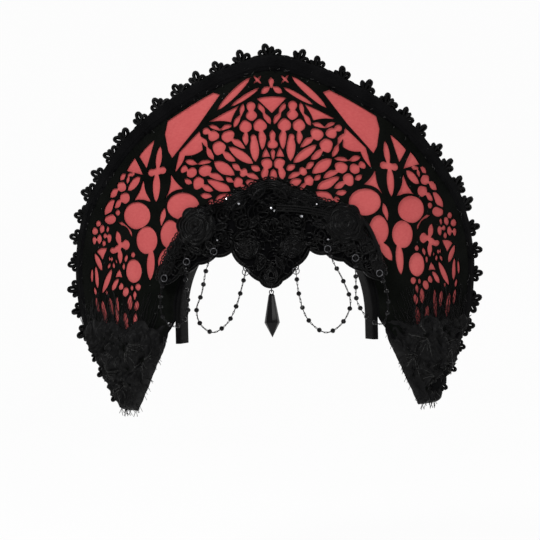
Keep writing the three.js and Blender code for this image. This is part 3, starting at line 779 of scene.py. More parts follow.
def cutWith(obj, cutter, operation="DIFFERENCE"):
    cut = obj.modifiers.new("Cut", "BOOLEAN")
    cut.operation = operation
    cut.solver = "MANIFOLD"
    cut.object = cutter
    applyAll(obj)
    bpy.data.objects.remove(cutter)


def makeTracery():
    back, front, inset = tracery["back"], tracery["front"], tracery["inset"]
    outline = crescent(inset)
    plate = flatPlate("tracery_overlay", [outline], back, front)
    for layer in sortInLayers(allCells()):
        cutWith(plate, flatPlate("cutter", layer, back - 1, front + 1))
    ring = haloLine(inset, 120) + haloLine(inset + tracery["border"], 120)[::-1]
    cutWith(plate, flatPlate("border", [ring], back, front), "UNION")
    sliceAcross(plate, tracery["step"])
    boundEdge(plate)
    bendRound(plate)
    finishPiece(plate, [overlayBlack, scorchedEdge], "overlay", "tracery")


makeTracery()


# Ribbon round the edge

rim = {
    "width": 12.75, "wall": 0.6, "step": 0.55, "front": 1.8, "back": -4.8, "crown": 0.9, "steps": 260,
    "ripple": 0.55, "stitches": 230, "pale": 0.14, "dark": 0.2,
}


def ribbonSection():
    # x is the inset from the edge, y the depth; the ribbon swells a little over its padding
    width, front, swell, step = rim["width"], rim["front"], rim["crown"], rim["step"]
    middle = (front + rim["back"]) / 2
    outside = []
    for i in range(10):
        rise = math.sin(math.pi * (i / 10) ** 0.8) ** 0.6
        outside.append((width * (1 - i / 10), front - 0.5 + (swell + 0.5) * rise))
    # the folded-over hem ends in a step a third of the way in
    hem = [(x, y - step) for x, y in outside[:3]] + [(outside[3][0] + 0.35, outside[3][1] - step)]
    outside = hem + outside[3:]
    fold = []
    for i in range(1, 8):
        angle = math.pi / 2 - math.pi * i / 8
        fold.append((0.9 - 0.9 * math.cos(angle), middle + (front - middle - 0.3) * math.sin(angle)))
    under = [(x, 2 * middle - y) for x, y in reversed(outside)]
    outer = outside + fold + under
    inner = []
    for x, y in reversed(outer):
        inner.append((max(x, 0.9), y - math.copysign(min(rim["wall"], abs(y - middle)), y - middle)))
    return outer, outer + inner


def makeRim():
    path = haloLine(0, rim["steps"])
    outer, section = ribbonSection()
    ribbon = sweptBand("rim_ribbon", path, section)
    for v in ribbon.data.vertices:
        if v.co.y < 0:
            ripple = bumpy(v.co.x * 55, 0, v.co.z * 55) + 0.6 * bumpy(v.co.x * 150, 450, v.co.z * 150)
            v.co.y -= rim["ripple"] * ripple * mm
    bendRound(ribbon)
    finishPiece(ribbon, ribbonBlack, "ribbon", "rim_band", smooth=50)


def makeRimStitches():
    # the ribbon is sewn down by hand: short thread ends and lint stand along its inner edge; the grey of the
    # pale stitches is partly thread colour and partly painted glint
    rng = random.Random(5)
    pale, dark = [], []
    line = haloLine(rim["width"], 900)
    for n in range(rim["stitches"]):
        k = rng.randint(70, 830)
        way = (line[k + 1] - line[k]).normalized()
        aside = Vector((way.y, -way.x))
        start = line[k] + aside * rng.uniform(-1.4, 0.9)
        angle = rng.uniform(-0.9, 0.9) if n % 3 else rng.uniform(0, 2 * math.pi)
        end = start + Matrix.Rotation(angle, 2) @ way * rng.uniform(1.2, 3.4)
        middle = (start + end) / 2 + aside * rng.uniform(-0.5, 0.6)
        path = [(q.x, -rim["front"] - lift, q.y) for q, lift in ((start, 0.1), (middle, 0.75), (end, 0.2))]
        (dark if n % 4 else pale).append(path)
    finishThreads("rim_stitches", pale, rim["pale"], stitchThread, "ribbon")
    finishThreads("rim_frays", dark, rim["dark"], laceGround, "ribbon")


makeRim()
makeRimStitches()


# Padded headband

def makeHeadband():
    half, thick = arch["depth"] / 2, arch["thickness"]
    section = []
    for i in range(28):
        angle = 2 * math.pi * i / 28
        x, y = math.cos(angle), math.sin(angle)
        section.append((
            thick / 2 + thick / 2 * math.copysign(abs(x) ** 0.6, x),
            arch["front"] - half + half * math.copysign(abs(y) ** 0.35, y),
        ))
    line = archLine(0, 90)
    foot = Vector((0, -arch["leg"]))
    band = sweptBand("headband_pad", [line[0] + foot] + line + [line[-1] + foot], section)
    bendRound(band)
    finishPiece(band, padSatin, "band_cloth", "headband", smooth=60)


makeHeadband()


# Looped edging

picots = {
    "pitch": 21.5, "reach": 11.0, "loop": 1.8, "cord": 1.7, "foot": -2.2, "depth": -1.5, "small": 0.78,
    "fans": ((-58, -18, 20, 60), (-46, -4, 42), (-62, -24, 14, 50), (-34, 8, 56)), "braid": 0.62,
}
fineEdge = haloLine(0, 900)


def edgePlace(share, outset):
    i = min(int(share * 900), 899)
    way = (fineEdge[i + 1] - fineEdge[i]).normalized()
    out = Vector((-way.y, way.x))
    return fineEdge[i] + out * outset, way, out


def turnedToFront(place, way, out, scale, depth):
    # at the sides the loops stand forward of the sheet, so that they show from the front
    angle = abs(place.x) / crown["bendRadius"]
    up = Vector((out.x * math.cos(angle), -abs(out.x) * math.sin(angle), out.y)).normalized()
    along = Vector((way.x, 0, way.y))
    along = (along - up * along.dot(up)).normalized()
    turn = Matrix((along, up.cross(along), up)).transposed().to_4x4()
    return Matrix.Translation(Vector((place.x, -depth, place.y)) * mm) @ turn @ Matrix.Scale(scale, 4)


def picotCluster(fan):
    loops = []
    for n, degrees in enumerate(fan):
        angle = math.radians(degrees)
        reach = picots["reach"] * (1 if n % 2 else 0.8)
        spread = picots["loop"] * (1 if (n + len(fan)) % 3 else 0.5)
        loop = []
        for i in range(14):
            t = math.pi * i / 13
            along, side = reach * math.sin(t), spread * math.sin(2 * t)
            across = along * math.sin(angle) + side * math.cos(angle)
            up = along * math.cos(angle) - side * math.sin(angle)
            loop.append((across, 0.7 * math.cos(t) + 0.35 * (n % 2), up))
        loops.append(loop)
    return cords("picotCluster", loops, picots["cord"], 3)


def makePicots():
    rng = random.Random(7)
    clusters = [picotCluster(fan) for fan in picots["fans"]]
    places = [[] for _ in clusters]
    count = round(lineLength(fineEdge) / picots["pitch"])
    for i in range(count):
        place, way, out = edgePlace((i + 0.5 + rng.uniform(-0.12, 0.12)) / count, picots["foot"])
        lean = Matrix.Rotation(rng.uniform(-0.3, 0.3), 2)
        shrink = 1 if spot(0, -0.42).y < place.y else picots["small"]
        scale = shrink * rng.uniform(0.88, 1.05)
        turned = turnedToFront(place, lean @ way, lean @ out, scale, picots["depth"])
        rng.choice(places).append(turned)
    loops = [copies("picotLoops", cluster, turns) for cluster, turns in zip(clusters, places)]
    for cluster in clusters:
        bpy.data.objects.remove(cluster)
    braid = []
    for side in (0, math.pi):
        path = []
        for i in range(451):
            turn = i * 0.9 + side
            place = edgePlace(i / 450, 0.3 + 0.5 * math.sin(turn))[0]
            path.append((place.x, -picots["depth"] + 0.5 * math.cos(turn), place.y))
        braid.append(path)
    edging = joinAs("picot_edging", loops + [cords("picotBraid", braid, picots["braid"])])
    finishPiece(bendRound(edging), edgingThread, "lace", "picot_trim", smooth=60)


makePicots()


# Lace band

lace = {
    "halfWidth": 91, "top": 29, "drop": 60, "shift": -3.5, "back": 2.1, "front": 3.3, "net": 0.7,
    "scallop": 1.6, "cord": 0.75, "fine": 0.58, "step": 5, "swirls": 430, "loopPitch": 4.2, "loopReach": 2.4,
}
# Upper and lower edge from the left end to the middle, shares of half width, top and drop
laceUpper = [
    (-1.0, -0.86), (-0.975, -0.66), (-0.9, -0.42), (-0.75, -0.1), (-0.6, 0.2), (-0.43, 0.38), (-0.22, 0.72),
    (0.0, 1.0),
]
laceLower = [
    (0.0, -0.995), (-0.1, -0.9), (-0.22, -0.71), (-0.34, -0.5), (-0.48, -0.56), (-0.63, -0.66), (-0.8, -0.8),
    (-0.94, -0.93),
]
eyelets = [(-0.935, -0.77), (-0.735, -0.55), (-0.485, -0.42), (-0.208, -0.703)]


def laceSpot(across, up):
    return Vector((across * lace["halfWidth"], up * (lace["top"] if up > 0 else lace["drop"])))


def shifted(line):
    return [Vector((p.x + lace["shift"], p.y)) for p in line]


def scalloped(line):
    curved = []
    for a, b in zip(line, line[1:]):
        curved += arcLine(a, b, -lace["scallop"] / (b - a).length, 6)
    return curved


upperHalf = [laceSpot(*p) for p in laceUpper]
lowerHalf = [laceSpot(*p) for p in laceLower]
upperLine = upperHalf + mirrored(upperHalf[:-1])[::-1]
lowerLine = mirrored(lowerHalf[1:])[::-1] + lowerHalf
laceOutline = shifted(scalloped(closedUp(upperLine + lowerLine)))
laceUpperEdge = shifted(scalloped(upperLine) + upperLine[-1:])
insideNet = offsetLine(laceOutline, 2.2, closed=True)


def isInside(p, outline):
    inside = False
    for a, b in zip(outline, outline[1:] + outline[:1]):
        if (a.y > p.y) != (b.y > p.y) and p.x < a.x + (b.x - a.x) * (p.y - a.y) / (b.y - a.y):
            inside = not inside
    return inside


def makeLaceNet():
    outline = offsetLine(laceOutline, 0.5, closed=True)
    net = flatPlate("lace_net", [outline], lace["back"], lace["back"] + lace["net"])
    sliceAcross(net, lace["step"], [-5 * i for i in range(13)])
    bendRound(net, leaning=True)
    finishPiece(net, laceGround, "lace", "lace_band")


def spiral(centre, radius, turns, start, way):
    count = int(turns * 9)
    line = []
    for i in range(count + 1):
        t = i / count
        line.append(centre + toward(start + way * 2 * math.pi * turns * t) * radius * (1 - 0.82 * t))
    return line


def loopsAlong(line, pitch, reach):
    places = evenLine(line, int(lineLength(line) / pitch))
    loops = []
    for a, b in zip(places, places[1:]):
        way = (b - a).normalized()
        out = Vector((-way.y, way.x))
        turns = [math.pi * i / 8 for i in range(9)]
        loops.append([
            (a + b) / 2 + out * reach * math.sin(t) - way * pitch * 0.42 * math.sin(2 * t) for t in turns
        ])
    return loops


# Motifs of the left half: middle of each scroll, its radius, turns, first angle and way round
scrolls = [
    (-12, 19, 6.5, 1.7, 0.4, 1), (-27, 11, 6, 1.6, 2.4, -1), (-38, 0, 7, 1.8, 0.6, 1),
    (-7, 6, 6.5, 1.7, 3.4, -1), (-22, -6, 6.5, 1.7, 1.4, 1), (-40, -17, 7, 1.8, 3.0, -1),
    (-5, -9, 5.5, 1.6, 0.2, 1), (-50, -28, 5.5, 1.6, 0.9, -1), (-63, -31, 6, 1.7, 2.2, 1),
    (-76, -30, 6.5, 1.8, 4.0, -1), (-83, -43, 5.5, 1.6, 1.0, 1), (-70, -42, 4.5, 1.5, 2.8, -1),
    (-9, -38, 5, 1.6, 5.2, 1), (-56, 5, 5, 1.6, 2.0, 1), (-34, -23.5, 4.5, 1.5, 4.4, 1),
]
# Leaves of the left half: base, tip, width
sprays = [
    (-31, 5, -18, 13, 5), (-46, -10, -34, -7, 5), (-14, 13, -3, 22, 5), (-66, -25, -55, -30, 5),
    (-78, -20, -84, -32, 5.5), (-28, -19, -15, -13, 5), (-9, 0, -16, -10, 5), (-73, -46, -64, -38, 4.5),
    (-86, -47, -79, -36, 4.5), (-10, -45, -4, -34, 4.5), (-22, -31, -28, -22, 4.5), (-44, -29, -52, -20, 5),
]


def laceSwirls():
    thick, fine = [], []
    for sign in (1, -1):
        for x, z, radius, turns, start, way in scrolls:
            middle = Vector((sign * x + lace["shift"], z))
            turned = start if sign == 1 else math.pi - start
            thick.append((spiral(middle, radius, turns, turned, way * sign), 1.3))
            fine.append((spiral(middle, radius + 1.5, 0.8, turned + 0.6, way * sign), 0.9))
        for x, z, tipX, tipZ, width in sprays:
            base = Vector((sign * x + lace["shift"], z))
            tip = Vector((sign * tipX + lace["shift"], tipZ))
            side = Vector((base.y - tip.y, tip.x - base.x)).normalized() * width * 0.36
            thick.append((closedUp(leafCell(base, tip, width)), 1.7))
            for k in range(1, 5):
                rib = base.lerp(tip, k / 5)
                fine.append(([rib + side, rib + (tip - base) * 0.08, rib - side], 1.9))
            fine.append(([base, tip], 2.1))
    return thick, fine


def randomSwirls():
    rng = random.Random(11)
    swirls = []
    while len(swirls) < lace["swirls"]:
        line = [Vector((rng.uniform(-96, 88), rng.uniform(-58, 28)))]
        angle = rng.uniform(0, 2 * math.pi)
        bend = rng.choice((-1, 1)) * rng.uniform(0.18, 0.42)
        for _ in range(rng.randint(6, 11)):
            angle += bend
            line.append(line[-1] + toward(angle) * 1.35)
        if all(isInside(p, insideNet) for p in line):
            swirls.append((line, rng.uniform(-0.2, 2.6)))
    return swirls


def onLace(line, lift):
    return onSheet(line, lace["front"] + lift - 0.5)


def makeLaceCords():
    thick, fine = laceSwirls()
    for inset, lift in ((0.6, 0.3), (2.3, 0.7)):
        thick.append((closedUp(offsetLine(laceOutline, inset, closed=True)), lift))
    for inset in (4.0, 5.6, 7.4):
        thick.append((offsetLine(laceUpperEdge, inset)[6:-6], 0.7))
    for down in (0, 2.1, 4.2):
        thick.append((smoothLine([(2, 8 - down), (22, 6.3 - down), (42, 2 - down), (55, -3 - down)], 6), 2.6))
    for radius in (7.0, 5.2, 3.2):
        oval = roundCell(Vector((lace["shift"], -49)), radius * 0.72, radius, 20)
        thick.append((closedUp(oval), 1.4 - radius * 0.08))
    thickCords = cords("laceThick", [onLace(line, lift) for line, lift in thick], lace["cord"], 3)
    fineLines = [onLace(line, lift) for line, lift in fine + randomSwirls()]
    loops = loopsAlong(laceUpperEdge, lace["loopPitch"], lace["loopReach"])
    fineLines += [onLace(loop, 0.1) for loop in loops]
    cordwork = joinAs("lace_cordwork", [thickCords, cords("laceFine", fineLines, lace["fine"])])
    finishPiece(bendRound(cordwork, leaning=True), laceThread, "lace", smooth=60)


def makeLaceRoll():
    # a stuffed roll round the outer side of the right rose, and the leaf under it
    path = smoothLine([(61, 4), (69, -1.5), (76.5, -11), (81.5, -23), (84.5, -34), (85, -42)], 8)
    roll = cords("roll", [onLace(path, 0.7)], 2.2, 6)
    middle = Vector((81.5, -45.5))
    leaf = ball(28, 16, (4.0, 1.7, 7.6), (middle.x, -lace["front"] - 1.0, middle.y))
    leafRim = cords("leafRim", [onLace(roundCell(middle, 4.6, 8.2, 24), 0.9)], 0.7, 3, closed=True)
    whole = bendRound(joinAs("lace_roll", [roll, leaf, leafRim]), leaning=True)
    finishPiece(whole, rollSatin, "lace", smooth=60)


makeLaceNet()
makeLaceCords()
makeLaceRoll()


# Roses of the lace

roses = [  # place as shares of half width and drop, radius, height and cord in millimetres
    {"across": -0.665, "up": -0.13, "radius": 17, "height": 6.0, "cord": 0.62, "turn": 0.3},
    {"across": -0.188, "up": -0.437, "radius": 9.5, "height": 4.6, "cord": 0.5, "turn": 1.1},
    {"across": 0.188, "up": -0.437, "radius": 9.5, "height": 4.6, "cord": 0.5, "turn": 2.0},
    {"across": 0.665, "up": -0.13, "radius": 17, "height": 6.0, "cord": 0.62, "turn": 0.9},
]
# Rounds of petals from the outside in: count, reach, length and lift as shares, and turn
petalRounds = [
    (7, 0.98, 0.50, 0.10, 0.0), (6, 0.78, 0.46, 0.36, 0.5), (5, 0.58, 0.42, 0.58, 0.2),
    (4, 0.4, 0.34, 0.76, 0.9), (3, 0.24, 0.24, 0.88, 0.4),
]


def petalPoint(across, along):
    spread = 0.35 + 0.65 * math.sin(math.pi * 0.5 * min(1, along * 1.25))
    edge = along * (1 - 0.30 * across ** 2)
    lift = 0.28 * math.sin(math.pi * 0.62 * along) - 0.16 * max(0, along - 0.75) * 4 - 0.10 * across ** 2
    return Vector((across * spread * 0.62, -lift, edge))

def petalPattern():
    # across from -1 to 1, and from the foot at 0 to the curled edge at 1
    bpy.ops.mesh.primitive_grid_add(x_subdivisions=10, y_subdivisions=6, size=2)
    petal = bpy.context.object
    for v in petal.data.vertices:
        v.co = petalPoint(v.co.x, (v.co.y + 1) / 2)
    petal.modifiers.new("Thick", "SOLIDIFY").thickness = 0.06
    applyAll(petal)
    cleanUp(petal)
    return petal


def petalPlace(rose, centre, angle, foot, lift, half):
    out = toward(angle)
    at = centre + out * foot
    turn = Matrix(((out.y, 0, out.x), (0, 1, 0), (-out.x, 0, out.y))).to_4x4()
    depth = lace["front"] + lift * rose["height"]
    return Matrix.Translation(Vector((at.x, -depth, at.y)) * mm) @ turn @ Matrix.Diagonal((*half, 1))


def makeRose(number, rose, petal):
    centre = laceSpot(rose["across"], 0) + Vector((lace["shift"], rose["up"] * lace["drop"]))
    radius, height = rose["radius"], rose["height"]
    places = []
    for count, reach, length, lift, turn in petalRounds:
        breadth = radius * reach * 2 * math.pi / count * 0.62
        half = (breadth * mm, height * 1.1 * mm, radius * length * mm)
        for i in range(count):
            angle = 2 * math.pi * (i + turn) / count + rose["turn"]
            places.append(petalPlace(rose, centre, angle, radius * (reach - length), lift, half))
    petals = copies("petals", petal, places)
    middle = (centre.x, 0.4 - lace["front"], centre.y)
    dome = ball(28, 14, (radius * 0.93, height * 0.75, radius * 0.93), middle)
    for v in dome.data.vertices:
        v.co.y = min(v.co.y, (0.8 - lace["front"]) * mm)
    rims = [petalPoint(i / 6 - 1, 0.97) + Vector((0, -0.1, 0)) for i in range(13)]
    edges = [[place @ q / mm for q in rims] for place in places]
    whole = joinAs("lace_rose_flower_%d" % number, [petals, dome, cords("petalEdges", edges, rose["cord"])])
    finishPiece(bendRound(whole, leaning=True), laceThread, "lace", "lace_rose_%d" % number, smooth=50)


petalShape = petalPattern()
for number, rose in enumerate(roses, 1):
    makeRose(number, rose, petalShape)
bpy.data.objects.remove(petalShape)


# Crystals sewn to the lace

crystals = [  # flat place and radius, millimetres
    (-28.2, 9.9, 1.3), (-2.4, 5.7, 1.3), (0.2, 3.6, 1.1), (21.7, -1.6, 1.6), (-66.6, -13.7, 1.3),
    (-45.5, -19.5, 0.9), (-38, 14, 1.0), (-18, -28, 0.9), (12.5, -29, 0.9), (42, -21, 1.0), (66, -15, 0.9),
    (-57, -12, 0.8), (34, 8, 0.8),
]


def makeCrystals():
    bpy.ops.mesh.primitive_ico_sphere_add(subdivisions=1, radius=1)
    stone = bpy.context.object
    places = []
    for n, (x, z, radius) in enumerate(crystals):
        at = Vector((x, -lace["front"] - 2.6, z)) * mm
        shape = Matrix.Diagonal((radius * mm, radius * 0.8 * mm, radius * mm, 1))
        places.append(Matrix.Translation(at) @ Matrix.Rotation(0.7 * n, 4, "Y") @ shape)
    stones = copies("lace_crystals", stone, places)
    bpy.data.objects.remove(stone)
    finishPiece(bendRound(stones, leaning=True), crystalMetal, "bead", smooth=0)


makeCrystals()


# Gathered lace at the lower ends

gather = {
    "columns": 100, "rows": 66, "base": 0.9, "fold": 7.4, "wrap": -4.4, "edge": 0.06, "thick": 0.5,
    "threads": 60, "veil": 64, "frays": 60, "pale": 0.2, "dark": 0.24,
    "full": 1.25,  # the cloth's cut size as a share of the place that it fills, both ways
}
gatherRows = [  # from the top down to the tip: inner and outer end of each row
    ((0.455, -0.345), (0.955, -0.335)), ((0.478, -0.43), (0.9, -0.43)), ((0.52, -0.53), (0.845, -0.52)),
    ((0.566, -0.64), (0.776, -0.635)), ((0.625, -0.772), (0.7, -0.77)),
]
gatherInner = smoothLine([spot(*row[0]) for row in gatherRows], 8)
gatherOuter = smoothLine([spot(*row[1]) for row in gatherRows], 8)
knots = [(0.60, 0.24), (0.26, 0.36), (0.20, 0.62), (0.5, 0.74), (0.82, 0.46)]  # shares inwards and downwards


def gatherPlace(u, v):
    at = min(v * (len(gatherInner) - 1), len(gatherInner) - 1.001)
    k = int(at)
    a = gatherOuter[k].lerp(gatherOuter[k + 1], at - k)
    b = gatherInner[k].lerp(gatherInner[k + 1], at - k)
    return a.lerp(b, u)


def crease(p, scale, seed):
    q = p / scale
    bent = q + Vector((bumpy(q.x, q.y, seed), bumpy(q.x, q.y, seed + 7))) * 0.9
    return 1 - min(1, abs(bumpy(bent.x, bent.y * 0.7, seed + 3)) * 3.2)


def foldDepth(u, v, phase):
    p = gatherPlace(u, v)
    depth = 0.42 * crease(p, 19, phase) + 0.34 * crease(p, 9, phase + 11) + 0.16 * crease(p, 4.5, phase + 23)
    depth += 0.35 * bumpy(p.x / 14, p.y / 14, phase)
    for x, y in knots:
        away = (p - gatherPlace(x, y)).length
        depth += 0.25 * math.exp(-(away / 7) ** 2) - 0.75 * math.exp(-(away / 2.2) ** 2)
    depth = gather["base"] + gather["fold"] * max(0, min(1.1, depth))
    near = min(u, 1 - u, (1 - v) * 1.4) / gather["edge"]
    if near < 1:
        depth = gather["wrap"] + (depth - gather["wrap"]) * math.sin(math.pi / 2 * max(0, near))
    return depth if v > 0.08 else 2.1 + (depth - 2.1) * v / 0.08


def threadsFromKnots(side, phase, rng):
    # loose thread ends sweep out of each knot, most of them downwards and inwards
    lines = []
    for x, y in knots:
        start = gatherPlace(x, y)
        for _ in range(gather["threads"] // len(knots)):
            angle, reach = rng.gauss(-2.2, 1.1), rng.uniform(5, 24)
            bend = rng.uniform(-0.9, 0.9)
            path, p = [], start + Vector((rng.uniform(-1.5, 1.5), rng.uniform(-1.5, 1.5)))
            for i in range(11):
                u, v = placeIn(p)
                if not (0.04 < u < 0.97 and 0.04 < v < 0.97):
                    break
                path.append((side * p.x, -foldDepth(u, v, phase) - 0.35, p.y))
                p = p + toward(angle) * reach / 10
                angle += bend / 10
            if len(path) > 3:
                lines.append(path)
    return lines


def placeIn(p):
    k = min(range(len(gatherInner)), key=lambda i: abs(gatherInner[i].y - p.y))
    a, b = gatherOuter[k], gatherInner[k]
    return (p.x - a.x) / (b.x - a.x), k / (len(gatherInner) - 1)


def veilThreads(side, rng):
    # loose netting that runs from the gathers up over the tracery
    lines = []
    for i in range(gather["veil"]):
        for slant in (-1, 1):
            start = 0.53 + 0.39 * (i + rng.uniform(0, 0.8)) / gather["veil"]
            rise = rng.uniform(0.08, 0.24)
            path = []
            for k in range(9):
                t = k / 8
                p = spot(start + slant * 0.055 * t + 0.004 * math.sin(9 * t + i), -0.40 + rise * t)
                path.append((side * p.x, -2.1 - 0.3 * math.sin(6 * t + i), p.y))
            lines.append(path)
    return lines


def frayedEnds(side, rng):
    lines = []
    for n in range(gather["frays"]):
        down = rng.uniform(0.05, 0.98) if n % 3 else 0.985
        p = gatherPlace(0.985 if n % 3 else rng.uniform(0, 1), down)
        reach, drop = rng.uniform(1, 5) if n % 3 else rng.uniform(-3, 5), rng.uniform(1, 6)
        depth = rng.uniform(-2.5, 2.5)
        path = []
        for t in (0, 0.3, 0.6, 1):
            z = p.y - drop * t + 0.4 * math.sin(5 * t)
            path.append((side * (p.x - reach * t ** 1.3), -depth - 1.2 * t, z))
        lines.append(path)
    return lines


def makeGather(name, side, phase):
    bpy.ops.mesh.primitive_grid_add(x_subdivisions=gather["columns"], y_subdivisions=gather["rows"], size=1)
    cloth = bpy.context.object
    cloth.name = name + "_cloth"
    for v in cloth.data.vertices:
        u, down = v.co.x + 0.5, 0.5 - v.co.y
        p = gatherPlace(u, down)
        ragged = (9 * bumpy(u * 6, phase, 2) + 3 * bumpy(u * 21, phase, 4)) * max(0, 1 - down * 5)
        lump = 0.8 * bumpy(down * 16, phase * 2, 5) * (max(0, 1 - u * 8) - max(0, 1 - (1 - u) * 8))
        v.co = Vector((side * (p.x + lump), -foldDepth(u, down, phase), p.y + ragged)) * mm
    thicken = cloth.modifiers.new("Thick", "SOLIDIFY")
    thicken.thickness = gather["thick"] * mm
    thicken.offset = 0
    applyAll(cloth)
    cleanUp(cloth)
    bendRound(cloth)
    finishPiece(cloth, gatherCloth, "lace", name, smooth=60)
    rng = random.Random(int(phase * 10))
    # pale knot threads: their grey is partly thread colour, partly painted glint
    finishThreads(name + "_threads", threadsFromKnots(side, phase, rng), gather["pale"], stitchThread, "lace")
    veil = veilThreads(side, rng)
    finishThreads(name + "_frays", veil + frayedEnds(side, rng), gather["dark"], laceThread, "lace")


makeGather("gather_left", -1, 0.7)
makeGather("gather_right", 1, 2.9)


# Strings of beads

string = {
    "bead": 2.1, "first": 9, "count": 12, "depth": 17.5, "ring": 3.2, "ringWire": 0.45, "ringTurn": 0.9,
    "hook": 0.6, "jump": 2.7, "jumpWire": 0.36, "end": 0.4,
    "linkLength": 2.9, "linkWidth": 0.95, "linkWire": 0.26, "linkPitch": 2.35,
}
strings = [  # eyelets counted from the left, and chosen points of each hang
    {"hooks": (0, 1),
     "route": [(-90.5, -65.6), (-88.9, -82), (-79, -89.5), (-69.5, -81.9), (-67.5, -72), (-69.5, -54)]},
    {"hooks": (2, 3),
     "route": [(-52.5, -43), (-56.5, -62.2), (-61, -76), (-57.8, -88.3), (-48.4, -94.5), (-38.2, -88.2),
               (-30.5, -74.3)]},
    {"hooks": (7, 6),
     "route": [(17.5, -67), (23.6, -85.7), (36.7, -96.5), (48.4, -90.7), (56.5, -74), (50.8, -54),
               (44.5, -41)]},
    {"hooks": (5, 4),
     "route": [(61.2, -55.6), (61.8, -72), (71.8, -87.5), (82.8, -91), (87.5, -74.6), (85, -60)]},
]
laceMiddle = (lace["back"] + lace["front"]) / 2
leftEyelets = [laceSpot(*p) for p in eyelets]
ringCentres = shifted(leftEyelets + mirrored(leftEyelets))


def linkPattern():
    half = string["linkWidth"] / 2
    straight = string["linkLength"] / 2 - half
    path = []
    for end in (1, -1):
        for i in range(5):
            p = toward(math.pi * i / 4) * half
            path.append((end * p.x, 0, end * (straight + p.y)))
    return cords("linkPattern", [path], string["linkWire"], 3, closed=True)


def alongPath(line, at, turn=0.0, stretch=1.0):
    lengths = 0.0
    for a, b in zip(line, line[1:]):
        step = (b - a).length
        if lengths + step >= at:
            place = a.lerp(b, (at - lengths) / step)
            spin = (b - a).to_track_quat("Z", "Y").to_matrix().to_4x4() @ Matrix.Rotation(turn, 4, "Z")
            return Matrix.Translation(place) @ spin @ Matrix.Diagonal((1, 1, stretch, 1))
        lengths += step
    raise ValueError("place beyond the string's end")


def ringFront(centre):
    depth = string["ring"] * math.cos(string["hook"])
    low = Vector((centre.x, centre.y - string["ring"] * math.sin(string["hook"])))
    return bentPoint(low.x, low.y, laceMiddle + leanOf(centre.y) + depth)


def makeString(number, entry, bead, link):
    first, last = [ringCentres[i] for i in entry["hooks"]]
    hang = [bentPoint(x, z, string["depth"]) for x, z in entry["route"]]
    line = evenLine(smoothLine([ringFront(first), *hang, ringFront(last)], 16), 400)
    length = lineLength(line)
    margin, half, end = string["first"] * mm, string["bead"] * mm, string["end"] * mm
    middles = [margin + i * (length - 2 * margin) / (string["count"] - 1) for i in range(string["count"])]
    beads = copies("beads_%d" % number, bead, [alongPath(line, at, i * 0.7) for i, at in enumerate(middles)])
    gaps = [end] + middles
    places = []
    for i, start in enumerate(gaps):
        near = start + (half if i else 0)
        far = (gaps[i + 1] - half) if i + 1 < len(gaps) else length - end
        count = max(2, round((far - near) / (string["linkPitch"] * mm)))
        step = (far - near) / count
        stretch = (step + 0.7 * mm) / (string["linkLength"] * mm)
        for k in range(count):
            turn = math.pi / 2 * ((len(places) + 1) % 2) + 0.4
            places.append(alongPath(line, near + (k + 0.5) * step, turn, stretch))
    parts = [copies("chain", link, places)]
    for centre, turn in ((first, string["ringTurn"]), (last, -string["ringTurn"])):
        place = bentPoint(centre.x, centre.y, laceMiddle + leanOf(centre.y))
        turned = (0, math.pi / 2, centre.x / crown["bendRadius"] + turn)
        parts.append(torus(string["ring"], string["ringWire"], place, turned))
    finishPiece(joinAs("chain_%d" % number, parts), wireMetal, "wire", smooth=60)
    jumps = []
    for at in (2 * mm, length - 2 * mm):
        place = alongPath(line, at).translation + Vector((0, -1.2 * mm, 0))
        jumps.append(torus(string["jump"], string["jumpWire"], place, (math.pi / 2, 0.25, place.x * 4), 26))
    finishPiece(joinAs("jump_rings_%d" % number, jumps), ringMetal, "wire", smooth=60)
    finishPiece(beads, beadBlack, "bead", "bead_string_%d" % number, smooth=0)


beadShape = ball(9, 7, (string["bead"], string["bead"], string["bead"] * 0.94))
linkShape = linkPattern()
for number, entry in enumerate(strings, 1):
    makeString(number, entry, beadShape, linkShape)
bpy.data.objects.remove(beadShape)
bpy.data.objects.remove(linkShape)


# Drop and its ring

drop = {
    "radius": 6.3, "length": 35, "sides": 8, "bail": 1.7, "bailWire": 0.4, "bevel": 0.18, "prong": 0.35,
    "profile": [(0, 0), (0.16, 0), (0.4, 0.03), (1, 0.66), (0.03, 1), (0, 1)],  # shares of radius and length
    "pinch": ((0.9, 0.9), (2.1, 2.6), (2.5, 4.4), (2.0, 6.0), (1.3, 6.6)),  # one prong: out and down
}


def boxMiddle(node):
    low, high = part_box(node)
    return (low + high) / 2


ringMiddle = boxMiddle("drop_ring")
dropMiddle = boxMiddle("drop")
hinge = Vector((dropMiddle.x, dropMiddle.y, ringMiddle.z - string["ring"] * mm))


def makeDropRing():
    ring = torus(string["ring"], string["ringWire"], ringMiddle, (0, math.pi / 2, 0), 36, 10)
    ring.name = "drop_ring_wire"
    finishPiece(ring, wireMetal, "wire", "drop_ring", smooth=60)


def makeDropStone():
    mesh = bpy.data.meshes.new("dropStone")
    radius, length, top = drop["radius"] * mm, drop["length"] * mm, hinge.z - drop["bail"] * mm
    verts = [(hinge.x + out * radius, hinge.y, top - down * length) for out, down in drop["profile"]]
    mesh.from_pydata(verts, [(i, i + 1) for i in range(len(verts) - 1)], [])
    stone = addObject("drop_stone", mesh)
    makeActive(stone)
    bpy.ops.object.mode_set(mode="EDIT")
    bpy.ops.mesh.select_all(action="SELECT")
    bpy.ops.mesh.spin(steps=drop["sides"], angle=2 * math.pi, center=hinge, axis=(0, 0, 1))
    bpy.ops.object.mode_set(mode="OBJECT")
    cleanUp(stone)
    bevel = stone.modifiers.new("Bevel", "BEVEL")
    bevel.width = drop["bevel"] * mm
    bevel.segments = 2
    bevel.limit_method = "ANGLE"
    bevel.angle_limit = math.radians(20)
    applyAll(stone)
    finishPiece(stone, beadBlack, "bead", "drop", body="drop", smooth=25)


